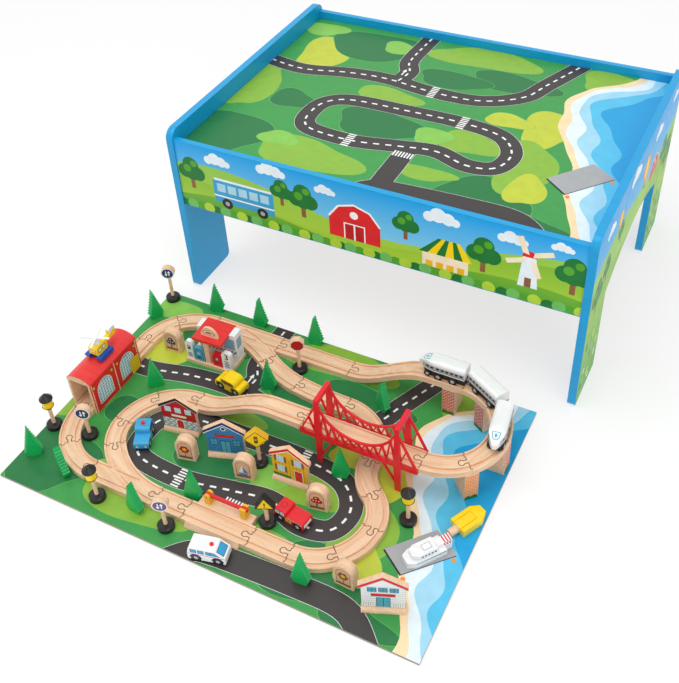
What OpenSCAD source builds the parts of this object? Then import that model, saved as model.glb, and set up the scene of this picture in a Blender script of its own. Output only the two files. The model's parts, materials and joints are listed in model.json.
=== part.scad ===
// Wooden train table with its loose play board and train set.
// Lengths are in millimetres. +X runs along the table, +Y to the back and +Z up.
// The origin lies on the floor, in the middle of the table and the board together.

/* [Table] */
// Length of the table over its end panels
table_l = 850; // [840:1:960]
// Depth of the end panels, front to back
table_w = 620; // [580:1:720]
// Height of the end panels
table_h = 394; // [360:1:460]
// Thickness of the end panels
panel_t = 15; // [14:1:20]
// Depth of each leg, front to back
leg_w = 124; // [90:1:160]
// Height of the arch where it springs from the legs
arch_spring = 186; // [120:1:200]
// Height of the arch at its crown
arch_crown = 226; // [215:1:250]
// Radius of the top corners of the end panels
panel_top_r = 22; // [8:1:30]
// Radius of the corners of the feet
foot_r = 12; // [4:1:20]

/* [Aprons and top] */
// Thickness of the aprons
apron_t = 12; // [12:1:16]
// Height of the aprons
apron_h = 155; // [130:1:165]
// Rise of the end panels above the aprons
apron_drop = 18; // [10:1:24]
// Setback of the aprons behind the edges of the end panels
apron_inset = 3; // [0:0.5:8]
// Thickness of the top panel
top_t = 6; // [4:0.5:9]
// Depth of the top panel's surface below the apron tops
top_drop = 18; // [12:1:26]
// Gap around the top panel
top_gap = 0.6; // [0.4:0.1:1.5]
// Side of the square strips that carry the top panel
ledger_s = 15; // [12:1:20]
// Width of the cross rails below the top panel
rail_w = 40; // [30:1:60]
// Distance of the cross rails from the middle of the table
rail_x = 140; // [80:1:220]

/* [Fittings] */
// Radius of a cam bolt
bolt_r = 2.5; // [2:0.1:3]
// Depth of a cam bolt in the end panel
bolt_in = 10; // [7:0.5:12]
// Distance from the apron's end to the middle of a cam
cam_reach = 24; // [18:1:34]
// Radius of a cam
cam_r = 6; // [5:0.5:8]
// Depth of a cam
cam_h = 9; // [9:0.1:10]
// Distance of the cam bolts from the apron's top and bottom edges
bolt_edge = 48; // [46:1:60]
// Radius of a dowel
dowel_r = 3.5; // [3:0.5:4.5]
// Length of a dowel
dowel_l = 30; // [24:1:40]
// Radius of a ledger screw
screw_r = 1.8; // [1.5:0.1:2.2]
// Length of a ledger screw
screw_l = 22; // [21:0.5:24]
// Spacing of the ledger screws
screw_step = 150; // [100:5:180]
// Clearance of a fitting in its hole
fit_gap = 0.05; // [0.02:0.01:0.1]

/* [Play board] */
// Length of the play board
board_l = 818; // [816:1:840]
// Depth of the play board
board_w = 540; // [538:1:580]
// Thickness of the play board
board_t = 4.5; // [3:0.5:9]
// How far the board lies to the left of the table
board_shift = 26; // [0:1:60]
// Gap between the board and the table
board_gap = 44; // [20:1:120]

/* [Track] */
// Width of the track
track_w = 40; // [38:0.5:41]
// Height of the track
track_h = 12; // [11:0.5:14]
// Width of a wheel groove
groove_w = 7; // [6.8:0.1:7.4]
// Depth of a wheel groove
groove_d = 3.5; // [2.5:0.1:4]
// Distance of each groove's middle from the middle of the track
gauge = 13; // [12.8:0.1:13.4]
// Bevel along the top edges of the track
track_bevel = 1.2; // [0.5:0.1:2]
// Width of the neck of a joining peg
peg_neck = 6; // [5:0.5:7]
// Radius of the head of a joining peg
peg_r = 5.2; // [4.5:0.1:5.6]
// Reach of a joining peg
peg_l = 11; // [9:0.5:12]
// Clearance round a peg
peg_gap = 0.5; // [0.3:0.1:0.8]
// Seam between two pieces of track
seam = 0.3; // [0.2:0.05:0.6]
// Height of the risers under the raised track
riser_h = 65; // [58:1:72]
// Length of a riser along the track
riser_l = 25; // [20:1:30]
// Length of a ramp
ramp_l = 236; // [230:1:240]
// Length of the sloping stretch of a ramp
ramp_run = 164; // [130:1:166]

/* [Bridge] */
// Height of the bridge towers above the track bed
tower_h = 95; // [80:1:110]
// Distance of the towers from the middle of the bridge
tower_x = 75; // [65:1:85]
// Thickness of the bridge sides
bridge_t = 4; // [3:0.5:6]
// Gap between the bridge sides and the track
bridge_gap = 0.6; // [0.3:0.1:1]
// Height of the lower chord above the track bed
chord_h = 9; // [6:0.5:13]
// Height of the cable above the track bed at mid span
cable_low = 25; // [20:1:32]
// Width of the cable
cable_w = 3.4; // [2.6:0.1:4.5]
// Width of the web bars
web_w = 2.6; // [2:0.1:3.4]
// Thickness of the bridge floor
bridge_floor = 2; // [1.5:0.5:3]

/* [Train] */
// Length of an engine
engine_l = 92; // [86:1:92]
// Length of the coach
coach_l = 76; // [70:1:77]
// Width of the train
train_w = 30; // [28:0.5:30]
// Height of the train above the rails
train_h = 40; // [36:1:46]
// Length of an engine's pointed nose
nose_l = 36; // [30:1:40]
// Height of the body's lower edge above the rails
body_z = 17; // [16.5:0.5:18]
// Distance between the coach's axles
wheelbase = 40; // [38:1:41]
// Distance between an engine's two guiding axles
engine_base = 28; // [26:1:30]
// Distance of an engine's middle axle before the middle of its body
engine_axle = 5; // [4:0.5:6]
// Distance of an engine's carrying axle before its middle axle
engine_lead = 21; // [19:0.5:22]
// Radius of an engine's carrying wheels, which run clear of the track
lead_wheel_r = 6.6; // [6:0.1:6.7]
// Radius of the train's wheels
rail_wheel_r = 8; // [7.5:0.1:8.2]
// Width of the train's wheels
rail_wheel_w = 2.6; // [2.2:0.1:2.7]
// Radius of every axle
axle_r = 1.5; // [1.2:0.1:1.8]
// Clearance of every axle in its bore
axle_gap = 0.05; // [0.03:0.01:0.09]
// Gap between a wheel and what it stands on
wheel_gap = 0.3; // [0.2:0.05:0.5]

/* [Road vehicles] */
// Width of the road vehicles
car_w = 28; // [26:0.5:30]
// Radius of the road wheels
road_wheel_r = 8; // [7:0.1:8.5]
// Width of the road wheels
road_wheel_w = 4.5; // [3.5:0.1:5]
// Height of the underside of the road vehicles
car_z = 4.5; // [3.5:0.5:6]

/* [Buildings] */
// Length of the engine shed
shed_l = 142; // [120:1:150]
// Gap between the track and the engine shed's walls
shed_gap = 1.5; // [1:0.1:3]
// Height of the engine shed's walls
shed_h = 74; // [66:1:84]
// Thickness of the engine shed's walls
shed_t = 5; // [3:0.5:5]
// Rise of the engine shed's curved roof
shed_rise = 10; // [7:0.5:13]
// Thickness of the roof at the eaves
shed_eave = 4; // [3:0.5:6]
// Width of the toy houses
house_w = 68; // [60:1:72]
// Height of the eaves of the toy houses
house_eave = 66; // [56:1:76]
// Height of the ridge of the toy houses
house_ridge = 92; // [84:1:104]
// Thickness of the toy houses
house_t = 9; // [8:0.5:12]
// Radius of the half-round foot of a toy house
house_foot_r = 11; // [9:0.5:13]
// Width of the fuel station's base
fuel_w = 104; // [98:1:110]
// Depth of the fuel station's base
fuel_d = 58; // [54:1:64]
// Height of the fuel station's base
fuel_base_h = 8; // [6:0.5:10]
// Height of the underside of the fuel station's canopy
canopy_z = 70; // [64:1:76]
// Thickness of the canopy
canopy_t = 6; // [4:0.5:8]
// Width of the picture blocks
block_w = 36; // [32:1:38]
// Height of the picture blocks
block_h = 54; // [48:1:62]
// Thickness of the picture blocks
block_t = 18; // [14:1:20]

/* [Trees and signs] */
// Height of a tree
tree_h = 72; // [66:1:80]
// Width of a tree where it is widest
tree_w = 32; // [28:0.5:34]
// Width of a tree at its foot
tree_foot = 21; // [18:0.5:21]
// Height at which a tree is widest
tree_skirt = 14; // [13:0.5:18]
// Thickness of a tree
tree_t = 13; // [10:0.5:14]
// Number of teeth along each side of a tree
tree_teeth = 9; // [7:1:10]
// Depth of the notches between the teeth
tree_notch = 4.4; // [3.5:0.1:4.8]
// Radius of the black foot of a sign or lamp
stand_r = 15; // [13:0.5:15]
// Height of the black foot of a sign or lamp
stand_h = 11; // [9:0.5:13]
// Radius of a sign's or lamp's post
post_r = 3.6; // [3:0.1:4]
// Height of the middle of a sign's head
sign_z = 66; // [60:1:72]
// Half width of a round or eight-sided sign
sign_r = 14; // [12:0.5:15]
// Side of the diamond sign
diamond_s = 30; // [26:1:32]
// Radius of the circle round the triangle sign
triangle_r = 20; // [18:1:22]
// Thickness of a sign's head
sign_t = 13; // [11:0.5:14]
// Height of a lamp
lamp_h = 88; // [84:1:94]
// Radius of a lamp's cap
lamp_r = 12.5; // [11.5:0.5:14]

/* [Gate, boats and helicopter] */
// Distance between the posts of the crossing gate
gate_span = 71; // [64:1:76]
// Height of the gate arm's pivot above the crossing
gate_z = 19; // [16:0.5:23]
// Length of the ferry
ferry_l = 84; // [80:1:84]
// Width of the ferry
ferry_w = 31; // [28:0.5:34]
// Length of the barge
barge_l = 56; // [50:1:57]
// Width of the barge
barge_w = 33; // [30:0.5:34]
// Length of the knob behind the barge
knob_l = 18; // [12:1:19]
// Length of the helicopter's floats
float_l = 38; // [34:1:44]
// Radius of the helicopter's rotor
rotor_r = 27; // [22:1:30]

/* [Hidden] */
$fn = 64;
// Overshoot of a cut past the face it opens
cut = 1;

// Where the table and the board stand in the shared frame
reach_left = max(0, board_shift);
reach_right = max(table_l, board_l - board_shift);
table_cx = (reach_left - reach_right) / 2 + table_l / 2;
table_cy = (board_gap + board_w) / 2;
board_x = table_cx - table_l / 2 - board_shift;
board_y = table_cy - table_w / 2 - board_gap - board_w;

// Levels and inner sizes of the table
apron_top = table_h - apron_drop;
apron_z = apron_top - apron_h;
top_z = apron_top - top_drop;
inner_l = table_l - 2 * panel_t;
apron_y = table_w / 2 - apron_inset - apron_t;
ledger_z = top_z - top_t - ledger_s;
arch_w = table_w - 2 * leg_w;
arch_rise = arch_crown - arch_spring;
arch_r = (arch_w * arch_w / 4 + arch_rise * arch_rise) / (2 * arch_rise);
bolt_levels = [apron_z + bolt_edge, apron_top - bolt_edge];
screw_head_r = 2 * screw_r;
screw_head_h = 2.2;

// Plan of the railway on the board: [x, y, heading] from the board's near left corner
front_y = 76;
back_y = 488;
bridge_y = 294;
left_x = 45;
bridge_x = [472, 696];
turn_r = (back_y - bridge_y) / 2;
turn_c = [bridge_x[1], bridge_y + turn_r];
front_trunk = [293, front_y, 180];
front_outer = [150, front_y, 180];
back_trunk = [148, back_y, 0];
back_straight = [300, back_y, 0];
back_curve = [298, 444, -33];
// A pose on a circle, heading to the left (side 1) or to the right (side -1) round it
function arc_pose(c, r, a, side) = [c[0] + r * cos(a), c[1] + r * sin(a), a + side * 90];
// The pose at the end of an arc that bends by an angle, to the left if it is positive
function after(p, r, bend) = spot_of(p, 2 * r * sin(abs(bend) / 2), bend / 2, p[2] + bend);
function spot_of(p, l, a, heading) = [p[0] + l * cos(p[2] + a), p[1] + l * sin(p[2] + a), heading];
left_front_r = front_outer[0] - left_x;
left_back_r = back_trunk[0] - left_x;
left_front = after(front_outer, left_front_r, -45);
left_near = [left_x, front_y + left_front_r, 90];
left_far = [left_x, back_y - left_back_r, 90];
left_back = after(left_far, left_back_r, -45);
outer_line = [
    front_outer, left_front, left_near, [left_x, (left_near[1] + left_far[1]) / 2, 90], left_far, left_back,
    back_trunk
];
inner_start = [bridge_x[0] - ramp_l, bridge_y, 180];
inner_bend = after(inner_start, 101, 45);
inner_side = after(inner_bend, 101, 45);
inner_end = after(inner_side, 84.5, 38);
inner_line = [inner_start, inner_bend, inner_side, inner_end];
front_inner = [inner_end[0], inner_end[1], inner_end[2] + 180];
upper_bend = after(back_curve, 235, 23);
upper_start = after(upper_bend, 632, 10);
upper_middle = after(upper_start, 97, -45);
under_bridge = after(upper_middle, 97, -45);
swerve_middle = after(under_bridge, 76.4, 55);
swerve_end = after(swerve_middle, 76.4, -55);
right_r = swerve_end[1] - front_y;
right_middle = after(swerve_end, right_r, -45);
right_end = after(right_middle, right_r, -45);
lower_line = [
    back_curve, upper_bend, upper_start, upper_middle, under_bridge, swerve_middle, swerve_end, right_middle,
    right_end, [482, front_y, 180]
];
crossing_line = [[482, front_y, 180], [354, front_y, 180]];
back_ramp_foot = [bridge_x[1] - ramp_l, back_y, 0];
high_line = [for (a = [90 : -45 : -90]) arc_pose(turn_c, turn_r, a, -1)];
riser_spots = [
    [bridge_x[1] - riser_l, back_y, 0], arc_pose(turn_c, turn_r, 60, -1), high_line[2], high_line[3]
];
ramp_lead = 4;
ramp_steps = 28;

// The train stands with its wheels over the grooves
rail_z = track_h + riser_h;
axle_z = rail_wheel_r + wheel_gap - groove_d;
lead_axle_z = lead_wheel_r + wheel_gap;
coach_axles = [wheelbase / 2, -wheelbase / 2];
engine_axles = [engine_axle, engine_axle - engine_base];
// The pose of a car whose two guiding axles stand on the raised curve, with their middle at an angle
function car_pose(a, side, axles) =
    let (half = (axles[0] - axles[1]) / 2, mid = (axles[0] + axles[1]) / 2)
    let (p = arc_pose(turn_c, sqrt(turn_r * turn_r - half * half), a, side))
    [p[0] - mid * cos(p[2]), p[1] - mid * sin(p[2]), p[2]];
coach_a = 60;
rear_a = 8;
front_engine_pose = [bridge_x[1] - 44, back_y, 180];
coach_pose = car_pose(coach_a, 1, coach_axles);
rear_engine_pose = car_pose(rear_a, -1, engine_axles);
chassis_w = 2 * (gauge - rail_wheel_w / 2) - 1.2;
chassis_deck = 3;
chassis_low = 1;
magnet_r = 3.5;
magnet_l = 3;

// Where the small pieces stand on the board
taxi_pose = [270, 356, 172];
blue_car_pose = [191, 178, -64];
fire_engine_pose = [526, 142, 172];
ambulance_pose = [436, 22, 13];
shed_pose = [left_x, 261, 90];
fuel_pose = [198, 411, 2];
house_poses = [[243, 227, 10], [350, 214, 18], [484, 212, 2], [732, 60, 22]];
block_poses = [[106, 399, 4], [287, 179, 12], [404, 187, 12], [552, 184, 10], [660, 74, -2]];
tree_back_y = board_w - 8;
tree_poses = [
    [14, 463, 65], [123, tree_back_y, 18], [230, tree_back_y, 1], [359, tree_back_y, 0], [334, 386, 21],
    [129, 300, 40], [557, 429, -29], [556, 258, 21], [346, 109, 12], [270, 44, -6], [594, 46, 5],
    [25, 66, 47], [105, 54, -28]
];
// Each sign is [x, y, shape, raise], where the shape is 0 round, 1 octagon, 2 diamond or 3 triangle
sign_spots = [
    [15, board_w - 16, 0, 10], [92, 143, 0, 0], [338, 37, 0, 0], [366, 452, 1, 7], [412, 222, 2, 4],
    [489, 118, 3, 0]
];
sign_turn = 24;
lamp_spots = [[16, 133], [193, 36], [701, 222]];
ferry_pose = [755, 177, 233];
barge_pose = [794.5, 263.5, 63];
gate_pose = [418 - gate_span / 2, front_y + 30, 0];
helicopter_pose = [left_x, 260, -90];

// Poses and arcs
function way(a) = [cos(a), sin(a)];
function spot(p) = [p[0], p[1]];
function turn(a, b) = (b - a + 1260) % 360 - 180;
// Reach of the tangents of the two equal-tangent arcs that join two poses
function arc_reach(v, s, t) =
    let (k = 1 - s * t, m = v * (s + t))
    abs(k) < 0.000001 ? v * v / (2 * m) : (sqrt(m * m + 2 * k * (v * v)) - m) / (2 * k);
function arc_middle(a, b) =
    let (s = way(a[2]), t = way(b[2]), v = spot(b) - spot(a), d = arc_reach(v, s, t))
    let (p = (spot(a) + spot(b) + d * (s - t)) / 2, w = v - d * (s + t))
    [p[0], p[1], atan2(w[1], w[0])];

module on_table() {
    translate([table_cx, table_cy, 0]) children();
}

module on_board() {
    translate([board_x, board_y, board_t]) children();
}

module at(p, z = 0) {
    translate([p[0], p[1], z]) rotate(p[2]) children();
}

// Repeats a left front corner at the other corners of the table
module four_corners() {
    for (mx = [0, 1], my = [0, 1]) mirror([mx, 0, 0]) mirror([0, my, 0]) children();
}

// A flat outline in X and Z, made as thick as t about the Y axis
module upright(t) {
    rotate([90, 0, 0]) linear_extrude(t, center = true) children();
}

module rounded(l, h, r) {
    translate([r, 0]) square([l - 2 * r, h]);
    translate([0, r]) square([l, h - 2 * r]);
    for (x = [r, l - r], y = [r, h - r]) translate([x, y]) circle(r);
}

// A straight bar between two points of a flat drawing
module bar(p, q, w) {
    d = q - p;
    translate(p) rotate(atan2(d[1], d[0])) translate([0, -w / 2]) square([norm(d), w]);
}

// Table

module corner_waste(r) {
    difference() {
        translate([-cut, -cut]) square(r + cut);
        translate([r, r]) circle(r);
    }
}

module end_panel_outline() {
    difference() {
        translate([-table_w / 2, 0]) square([table_w, table_h]);
        for (s = [0, 1]) mirror([s, 0]) {
            translate([-table_w / 2, 0]) corner_waste(foot_r);
            translate([-table_w / 2, table_h]) mirror([0, 1]) corner_waste(panel_top_r);
            translate([-arch_w / 2, 0]) mirror([1, 0]) corner_waste(foot_r);
        }
        translate([-arch_w / 2, -cut]) square([arch_w, arch_spring + cut]);
        intersection() {
            translate([0, arch_crown - arch_r]) circle(arch_r, $fn = 240);
            translate([-arch_w / 2, arch_spring - cut]) square([arch_w, arch_rise + 2 * cut]);
        }
    }
}

// Axes of the fittings at the left front corner, at the end of the apron
module at_apron_end(levels) {
    for (z = levels) translate([-inner_l / 2, -apron_y - apron_t / 2, z]) rotate([0, 90, 0]) children();
}

module fitting_holes() {
    four_corners() {
        at_apron_end(bolt_levels)
            translate([0, 0, -bolt_in]) cylinder(r = bolt_r + fit_gap, h = bolt_in + cam_reach);
        at_apron_end([apron_z + apron_h / 2])
            translate([0, 0, -dowel_l / 3]) cylinder(r = dowel_r + fit_gap, h = dowel_l);
    }
}

module end_panel() {
    difference() {
        translate([-table_l / 2, 0, 0]) rotate([90, 0, 90]) linear_extrude(panel_t) end_panel_outline();
        fitting_holes();
    }
}

module left_end_panel() {
    color("#1996cd") on_table() end_panel();
}

module right_end_panel() {
    color("#1996cd") on_table() mirror([1, 0, 0]) end_panel();
}

module cam_pocket(gap, depth) {
    for (mx = [0, 1], z = bolt_levels) mirror([mx, 0, 0])
        translate([-inner_l / 2 + cam_reach, -apron_y, z]) rotate([90, 0, 0])
            cylinder(r = cam_r + gap, h = depth);
}

module screw_row() {
    for (x = [-2 * screw_step : screw_step : 2 * screw_step])
        translate([x, -apron_y + ledger_s, ledger_z + ledger_s / 2]) rotate([90, 0, 0]) children();
}

module apron() {
    difference() {
        translate([-inner_l / 2, -apron_y - apron_t, apron_z]) cube([inner_l, apron_t, apron_h]);
        fitting_holes();
        translate([0, cut, 0]) cam_pocket(fit_gap, cam_h + cut);
        screw_row() cylinder(r = screw_r + fit_gap, h = screw_l);
    }
}

module front_apron() {
    color("#2aa9dd") on_table() apron();
}

module back_apron() {
    color("#2aa9dd") on_table() mirror([0, 1, 0]) apron();
}

module top_panel() {
    l = inner_l - 2 * top_gap;
    w = 2 * (apron_y - top_gap);
    color("#5fbe64") on_table() translate([-l / 2, -w / 2, top_z - top_t]) cube([l, w, top_t]);
}

module ledger() {
    difference() {
        translate([-inner_l / 2, -apron_y, ledger_z]) cube([inner_l, ledger_s, ledger_s]);
        screw_row() cylinder(r = screw_r + fit_gap, h = ledger_s);
        screw_row() translate([0, 0, -cut]) cylinder(r = screw_head_r + fit_gap, h = screw_head_h + cut);
    }
}

module ledger_strips() {
    color("#dcb48c") on_table() for (my = [0, 1]) mirror([0, my, 0]) ledger();
}

module cross_rails() {
    w = 2 * (apron_y - ledger_s);
    color("#dcb48c") on_table() for (x = [-rail_x, rail_x])
        translate([x - rail_w / 2, -w / 2, ledger_z]) cube([rail_w, w, ledger_s]);
}

module cam_bolts() {
    color("silver") on_table() four_corners() at_apron_end(bolt_levels)
        translate([0, 0, -bolt_in]) cylinder(r = bolt_r, h = bolt_in + cam_reach);
}

module cam_locks() {
    slot_w = 1.6;
    color("gray") on_table() for (my = [0, 1]) mirror([0, my, 0]) difference() {
        cam_pocket(0, cam_h);
        fitting_holes();
        for (mx = [0, 1], z = bolt_levels) mirror([mx, 0, 0])
            translate([-inner_l / 2 + cam_reach, -apron_y, z])
                cube([1.4 * cam_r, slot_w, slot_w], center = true);
    }
}

module dowels() {
    color("#dcb48c") on_table() four_corners() at_apron_end([apron_z + apron_h / 2])
        translate([0, 0, -dowel_l / 3]) cylinder(r = dowel_r, h = dowel_l);
}

module ledger_screws() {
    color("silver") on_table() for (my = [0, 1]) mirror([0, my, 0]) screw_row() {
        cylinder(r = screw_r, h = screw_l);
        cylinder(r = screw_head_r, h = screw_head_h);
    }
}

// Play board and railway

module play_board() {
    color("#5fbe64") translate([board_x, board_y, 0]) cube([board_l, board_w, board_t]);
}

module track_block() {
    translate([-track_w / 2, 0]) square([track_w, track_h]);
}

module groove_pair() {
    for (s = [-1, 1])
        translate([s * gauge - groove_w / 2, track_h - groove_d]) square([groove_w, groove_d + cut]);
}

module track_profile() {
    difference() {
        polygon([
            [-track_w / 2, 0], [track_w / 2, 0], [track_w / 2, track_h - track_bevel],
            [track_w / 2 - track_bevel, track_h], [track_bevel - track_w / 2, track_h],
            [-track_w / 2, track_h - track_bevel]
        ]);
        groove_pair();
    }
}

// Sweeps a profile along one arc, or one straight line, between two poses
module run(a, b) {
    bend = turn(a[2], b[2]);
    chord = norm(spot(b) - spot(a));
    if (abs(bend) < 0.01) {
        at(a) rotate([90, 0, 90]) linear_extrude(chord) children();
    } else {
        r = chord / (2 * sin(abs(bend) / 2));
        centre = spot(a) + sign(bend) * r * way(a[2] + 90);
        start = bend > 0 ? a[2] - 90 : b[2] + 90;
        translate(centre) rotate(start)
            rotate_extrude(angle = abs(bend), $fn = 120) translate([r, 0]) children();
    }
}

// One line or arc joins two poses when the chord leaves both at the same angle
function is_single(a, b) =
    let (d = spot(b) - spot(a), skew = turn(a[2], atan2(d[1], d[0])))
    abs(turn(a[2], b[2]) - 2 * skew) < 0.01;

// Points along one arc or line between two poses, a distance to the left of it
function run_points(a, b, side) =
    let (bend = turn(a[2], b[2]), steps = max(1, ceil(abs(bend) / 3)))
    let (chord = norm(spot(b) - spot(a)), half = bend / 2)
    let (r = abs(bend) < 0.01 ? 0 : chord / (2 * sin(half)))
    [for (i = [0 : steps])
        let (t = bend * i / steps, along = abs(bend) < 0.01 ? chord * i / steps : 2 * r * sin(t / 2))
        spot(a) + along * way(a[2] + t / 2) + side * way(a[2] + t + 90)];

function curve_points(a, b, side) =
    is_single(a, b) ? run_points(a, b, side)
        : let (m = arc_middle(a, b), first = run_points(a, m, side), second = run_points(m, b, side))
            concat(first, [for (i = [1 : len(second) - 1]) second[i]]);

function backwards(points) = [for (i = [len(points) - 1 : -1 : 0]) points[i]];

// Plan of a strip of a given width along a curve, shifted to the left of it
module strip(a, b, w, shift = 0) {
    polygon(concat(curve_points(a, b, shift + w / 2), backwards(curve_points(a, b, shift - w / 2))));
}

module peg_outline(gap) {
    translate([-cut, -peg_neck / 2 - gap]) square([peg_l + cut, peg_neck + 2 * gap]);
    translate([peg_l, 0]) circle(peg_r + gap);
}

module peg(p) {
    at(p) linear_extrude(track_h) peg_outline(0);
}

// The socket and the thin seam at the end of a piece that faces the pose
module socket(p) {
    at(p) {
        translate([0, 0, -cut]) linear_extrude(track_h + 2 * cut) peg_outline(peg_gap);
        translate([-cut, -track_w, -cut]) cube([cut + seam, 2 * track_w, track_h + 2 * cut]);
    }
}

module track(a, b) {
    difference() {
        union() {
            run(a, b) track_profile();
            peg(b);
        }
        socket(a);
    }
}

function is_straight(a, b) = abs(turn(a[2], b[2])) < 0.01;

// Draws the straight pieces of a line, or its curved ones
module line_part(poses, straight) {
    for (i = [0 : len(poses) - 2])
        if (is_straight(poses[i], poses[i + 1]) == straight) track(poses[i], poses[i + 1]);
}

module curved_tracks() {
    color("#e6bf96") on_board() {
        line_part(outer_line, false);
        line_part(inner_line, false);
        line_part(lower_line, false);
        translate([0, 0, riser_h]) line_part(high_line, false);
    }
}

module straight_tracks() {
    color("#e6bf96") on_board() {
        line_part(outer_line, true);
        line_part(lower_line, true);
        track(back_straight, back_ramp_foot);
        track(crossing_line[1], front_trunk);
        translate([0, 0, riser_h]) track(high_line[4], [bridge_x[0], bridge_y, 180]);
    }
}

module switch_blank(trunk, a, b) {
    linear_extrude(track_h) {
        strip(trunk, a, track_w);
        strip(trunk, b, track_w);
    }
    peg(a);
}

module switch_grooves(trunk, a, b) {
    for (s = [-1, 1], end = [a, b]) translate([0, 0, track_h - groove_d])
        linear_extrude(groove_d + cut) strip(trunk, end, groove_w, s * gauge);
    socket(trunk);
}

module switch_tracks() {
    color("#e6bf96") on_board() {
        difference() {
            switch_blank(front_trunk, front_outer, front_inner);
            switch_grooves(front_trunk, front_outer, front_inner);
            socket([front_inner[0], front_inner[1], front_inner[2] - 180]);
        }
        difference() {
            union() {
                switch_blank(back_trunk, back_straight, back_curve);
                peg(back_curve);
            }
            switch_grooves(back_trunk, back_straight, back_curve);
        }
    }
}

function ramp_rise(s) = riser_h * (1 - cos(180 * min(1, max(0, (s - ramp_lead) / ramp_run)))) / 2;

// Side view of a ramp between two heights above its bed
module ramp_side(low, high) {
    slope = [for (i = [0 : ramp_steps]) ramp_lead + ramp_run * i / ramp_steps];
    stations = concat([0], slope, [ramp_l]);
    last = len(stations) - 1;
    polygon(concat(
        [for (s = stations) [s, ramp_rise(s) + low]],
        [for (i = [last : -1 : 0]) [stations[i], ramp_rise(stations[i]) + high]]
    ));
}

module ramp_bar() {
    difference() {
        upright(track_w) ramp_side(0, track_h);
        for (s = [-1, 1]) translate([0, s * gauge, 0])
            upright(groove_w) ramp_side(track_h - groove_d, track_h + cut);
    }
}

module ramp_tracks() {
    color("#e6bf96") on_board() {
        at(back_ramp_foot) difference() {
            union() {
                ramp_bar();
                translate([0, 0, riser_h]) peg([ramp_l, 0, 0]);
            }
            socket([0, 0, 0]);
        }
        translate([bridge_x[0] - ramp_l, bridge_y, 0]) difference() {
            union() {
                ramp_bar();
                peg([0, 0, 180]);
            }
            translate([0, 0, riser_h]) socket([ramp_l, 0, 180]);
        }
    }
}

module crossing_track() {
    l = crossing_line[0][0] - crossing_line[1][0];
    road_l = l - 22;
    near = track_w / 2 + 7;
    far = track_w / 2 + 24;
    slope = 6;
    lip = 2;
    road = [
        [-near, 0], [far, 0], [far, lip], [far - slope, track_h], [slope - near, track_h], [-near, lip]
    ];
    color("#e6bf96") on_board() difference() {
        union() {
            run(crossing_line[0], crossing_line[1]) track_block();
            translate([crossing_line[1][0] + (l - road_l) / 2, front_y, 0])
                rotate([90, 0, 90]) linear_extrude(road_l) polygon(road);
            peg(crossing_line[1]);
        }
        run(crossing_line[0], crossing_line[1]) groove_pair();
        socket(crossing_line[0]);
    }
}

module track_risers() {
    color("#b43c32") on_board() for (p = riser_spots)
        at(p) translate([-riser_l / 2, -track_w / 2, 0]) cube([riser_l, track_w, riser_h]);
}

// Suspension bridge, drawn about its middle

bridge_l = bridge_x[1] - bridge_x[0];
cable_top = tower_h - 16;
cable_x = tower_x - 4;
cable_sag = cable_top - cable_low;
cable_r = (cable_x * cable_x + cable_sag * cable_sag) / (2 * cable_sag);
web_step = 2 * cable_x / 9;
function cable_z(x) = cable_low + cable_r - sqrt(cable_r * cable_r - x * x);

module tower_outline() {
    foot = 5;
    waist = 7;
    head = 4;
    polygon([
        [-foot, -riser_h], [foot, -riser_h], [waist, -bridge_floor], [waist, chord_h], [head, tower_h],
        [-head, tower_h], [-waist, chord_h], [-waist, -bridge_floor]
    ]);
}

// One side of the bridge, with the track bed at height 0
module bridge_side_outline() {
    translate([-bridge_l / 2, -bridge_floor]) square([bridge_l, chord_h + bridge_floor]);
    for (s = [0, 1]) mirror([s, 0]) {
        translate([tower_x, 0]) tower_outline();
        bar([tower_x + 2, cable_top], [bridge_l / 2 - web_w, chord_h - 2], cable_w);
        bar([tower_x + 4, chord_h - 2], [tower_x + 16, cable_top * 0.56], web_w);
        bar([tower_x, 14 - riser_h], [tower_x - 27, -bridge_floor], web_w + 1);
    }
    intersection() {
        translate([0, cable_low + cable_r]) difference() {
            circle(cable_r + cable_w / 2, $fn = 120);
            circle(cable_r - cable_w / 2, $fn = 120);
        }
        translate([-cable_x, 0]) square([2 * cable_x, cable_top]);
    }
    for (i = [0 : 8]) {
        foot = -cable_x + i * web_step;
        peak = [foot + web_step / 2, cable_z(foot + web_step / 2)];
        bar([foot, chord_h - 1], peak, web_w);
        bar(peak, [foot + web_step, chord_h - 1], web_w);
    }
}

module suspension_bridge() {
    side_y = track_w / 2 + bridge_gap + bridge_t / 2;
    full_w = 2 * side_y + bridge_t;
    beam_l = 8;
    beam_h = 9;
    color("#e1192d") on_board() translate([(bridge_x[0] + bridge_x[1]) / 2, bridge_y, riser_h]) {
        for (s = [-1, 1]) translate([0, s * side_y, 0]) upright(bridge_t) bridge_side_outline();
        translate([-bridge_l / 2, -full_w / 2, -bridge_floor]) cube([bridge_l, full_w, bridge_floor]);
        for (s = [-1, 1])
            translate([s * tower_x - beam_l / 2, -full_w / 2, tower_h - beam_h])
                cube([beam_l, full_w, beam_h]);
    }
}

// Train

module on_rails(p) {
    on_board() at(p, rail_z) children();
}

module train_section() {
    shoulder = 7;
    lower = train_h - body_z - shoulder;
    translate([-train_w / 2, body_z]) square([train_w, lower]);
    translate([shoulder - train_w / 2, body_z]) square([train_w - 2 * shoulder, train_h - body_z]);
    for (s = [-1, 1]) translate([s * (train_w / 2 - shoulder), body_z + lower]) circle(shoulder);
}

module coach_shape() {
    translate([-coach_l / 2, 0, 0]) rotate([90, 0, 90]) linear_extrude(coach_l) train_section();
}

// The nose tapers along arcs that would meet in a point a little before the flat tip
nose_x = engine_l / 2 - nose_l;
nose_reach = nose_l + 4;
nose_tip = 6;
round_fn = 160;

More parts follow.
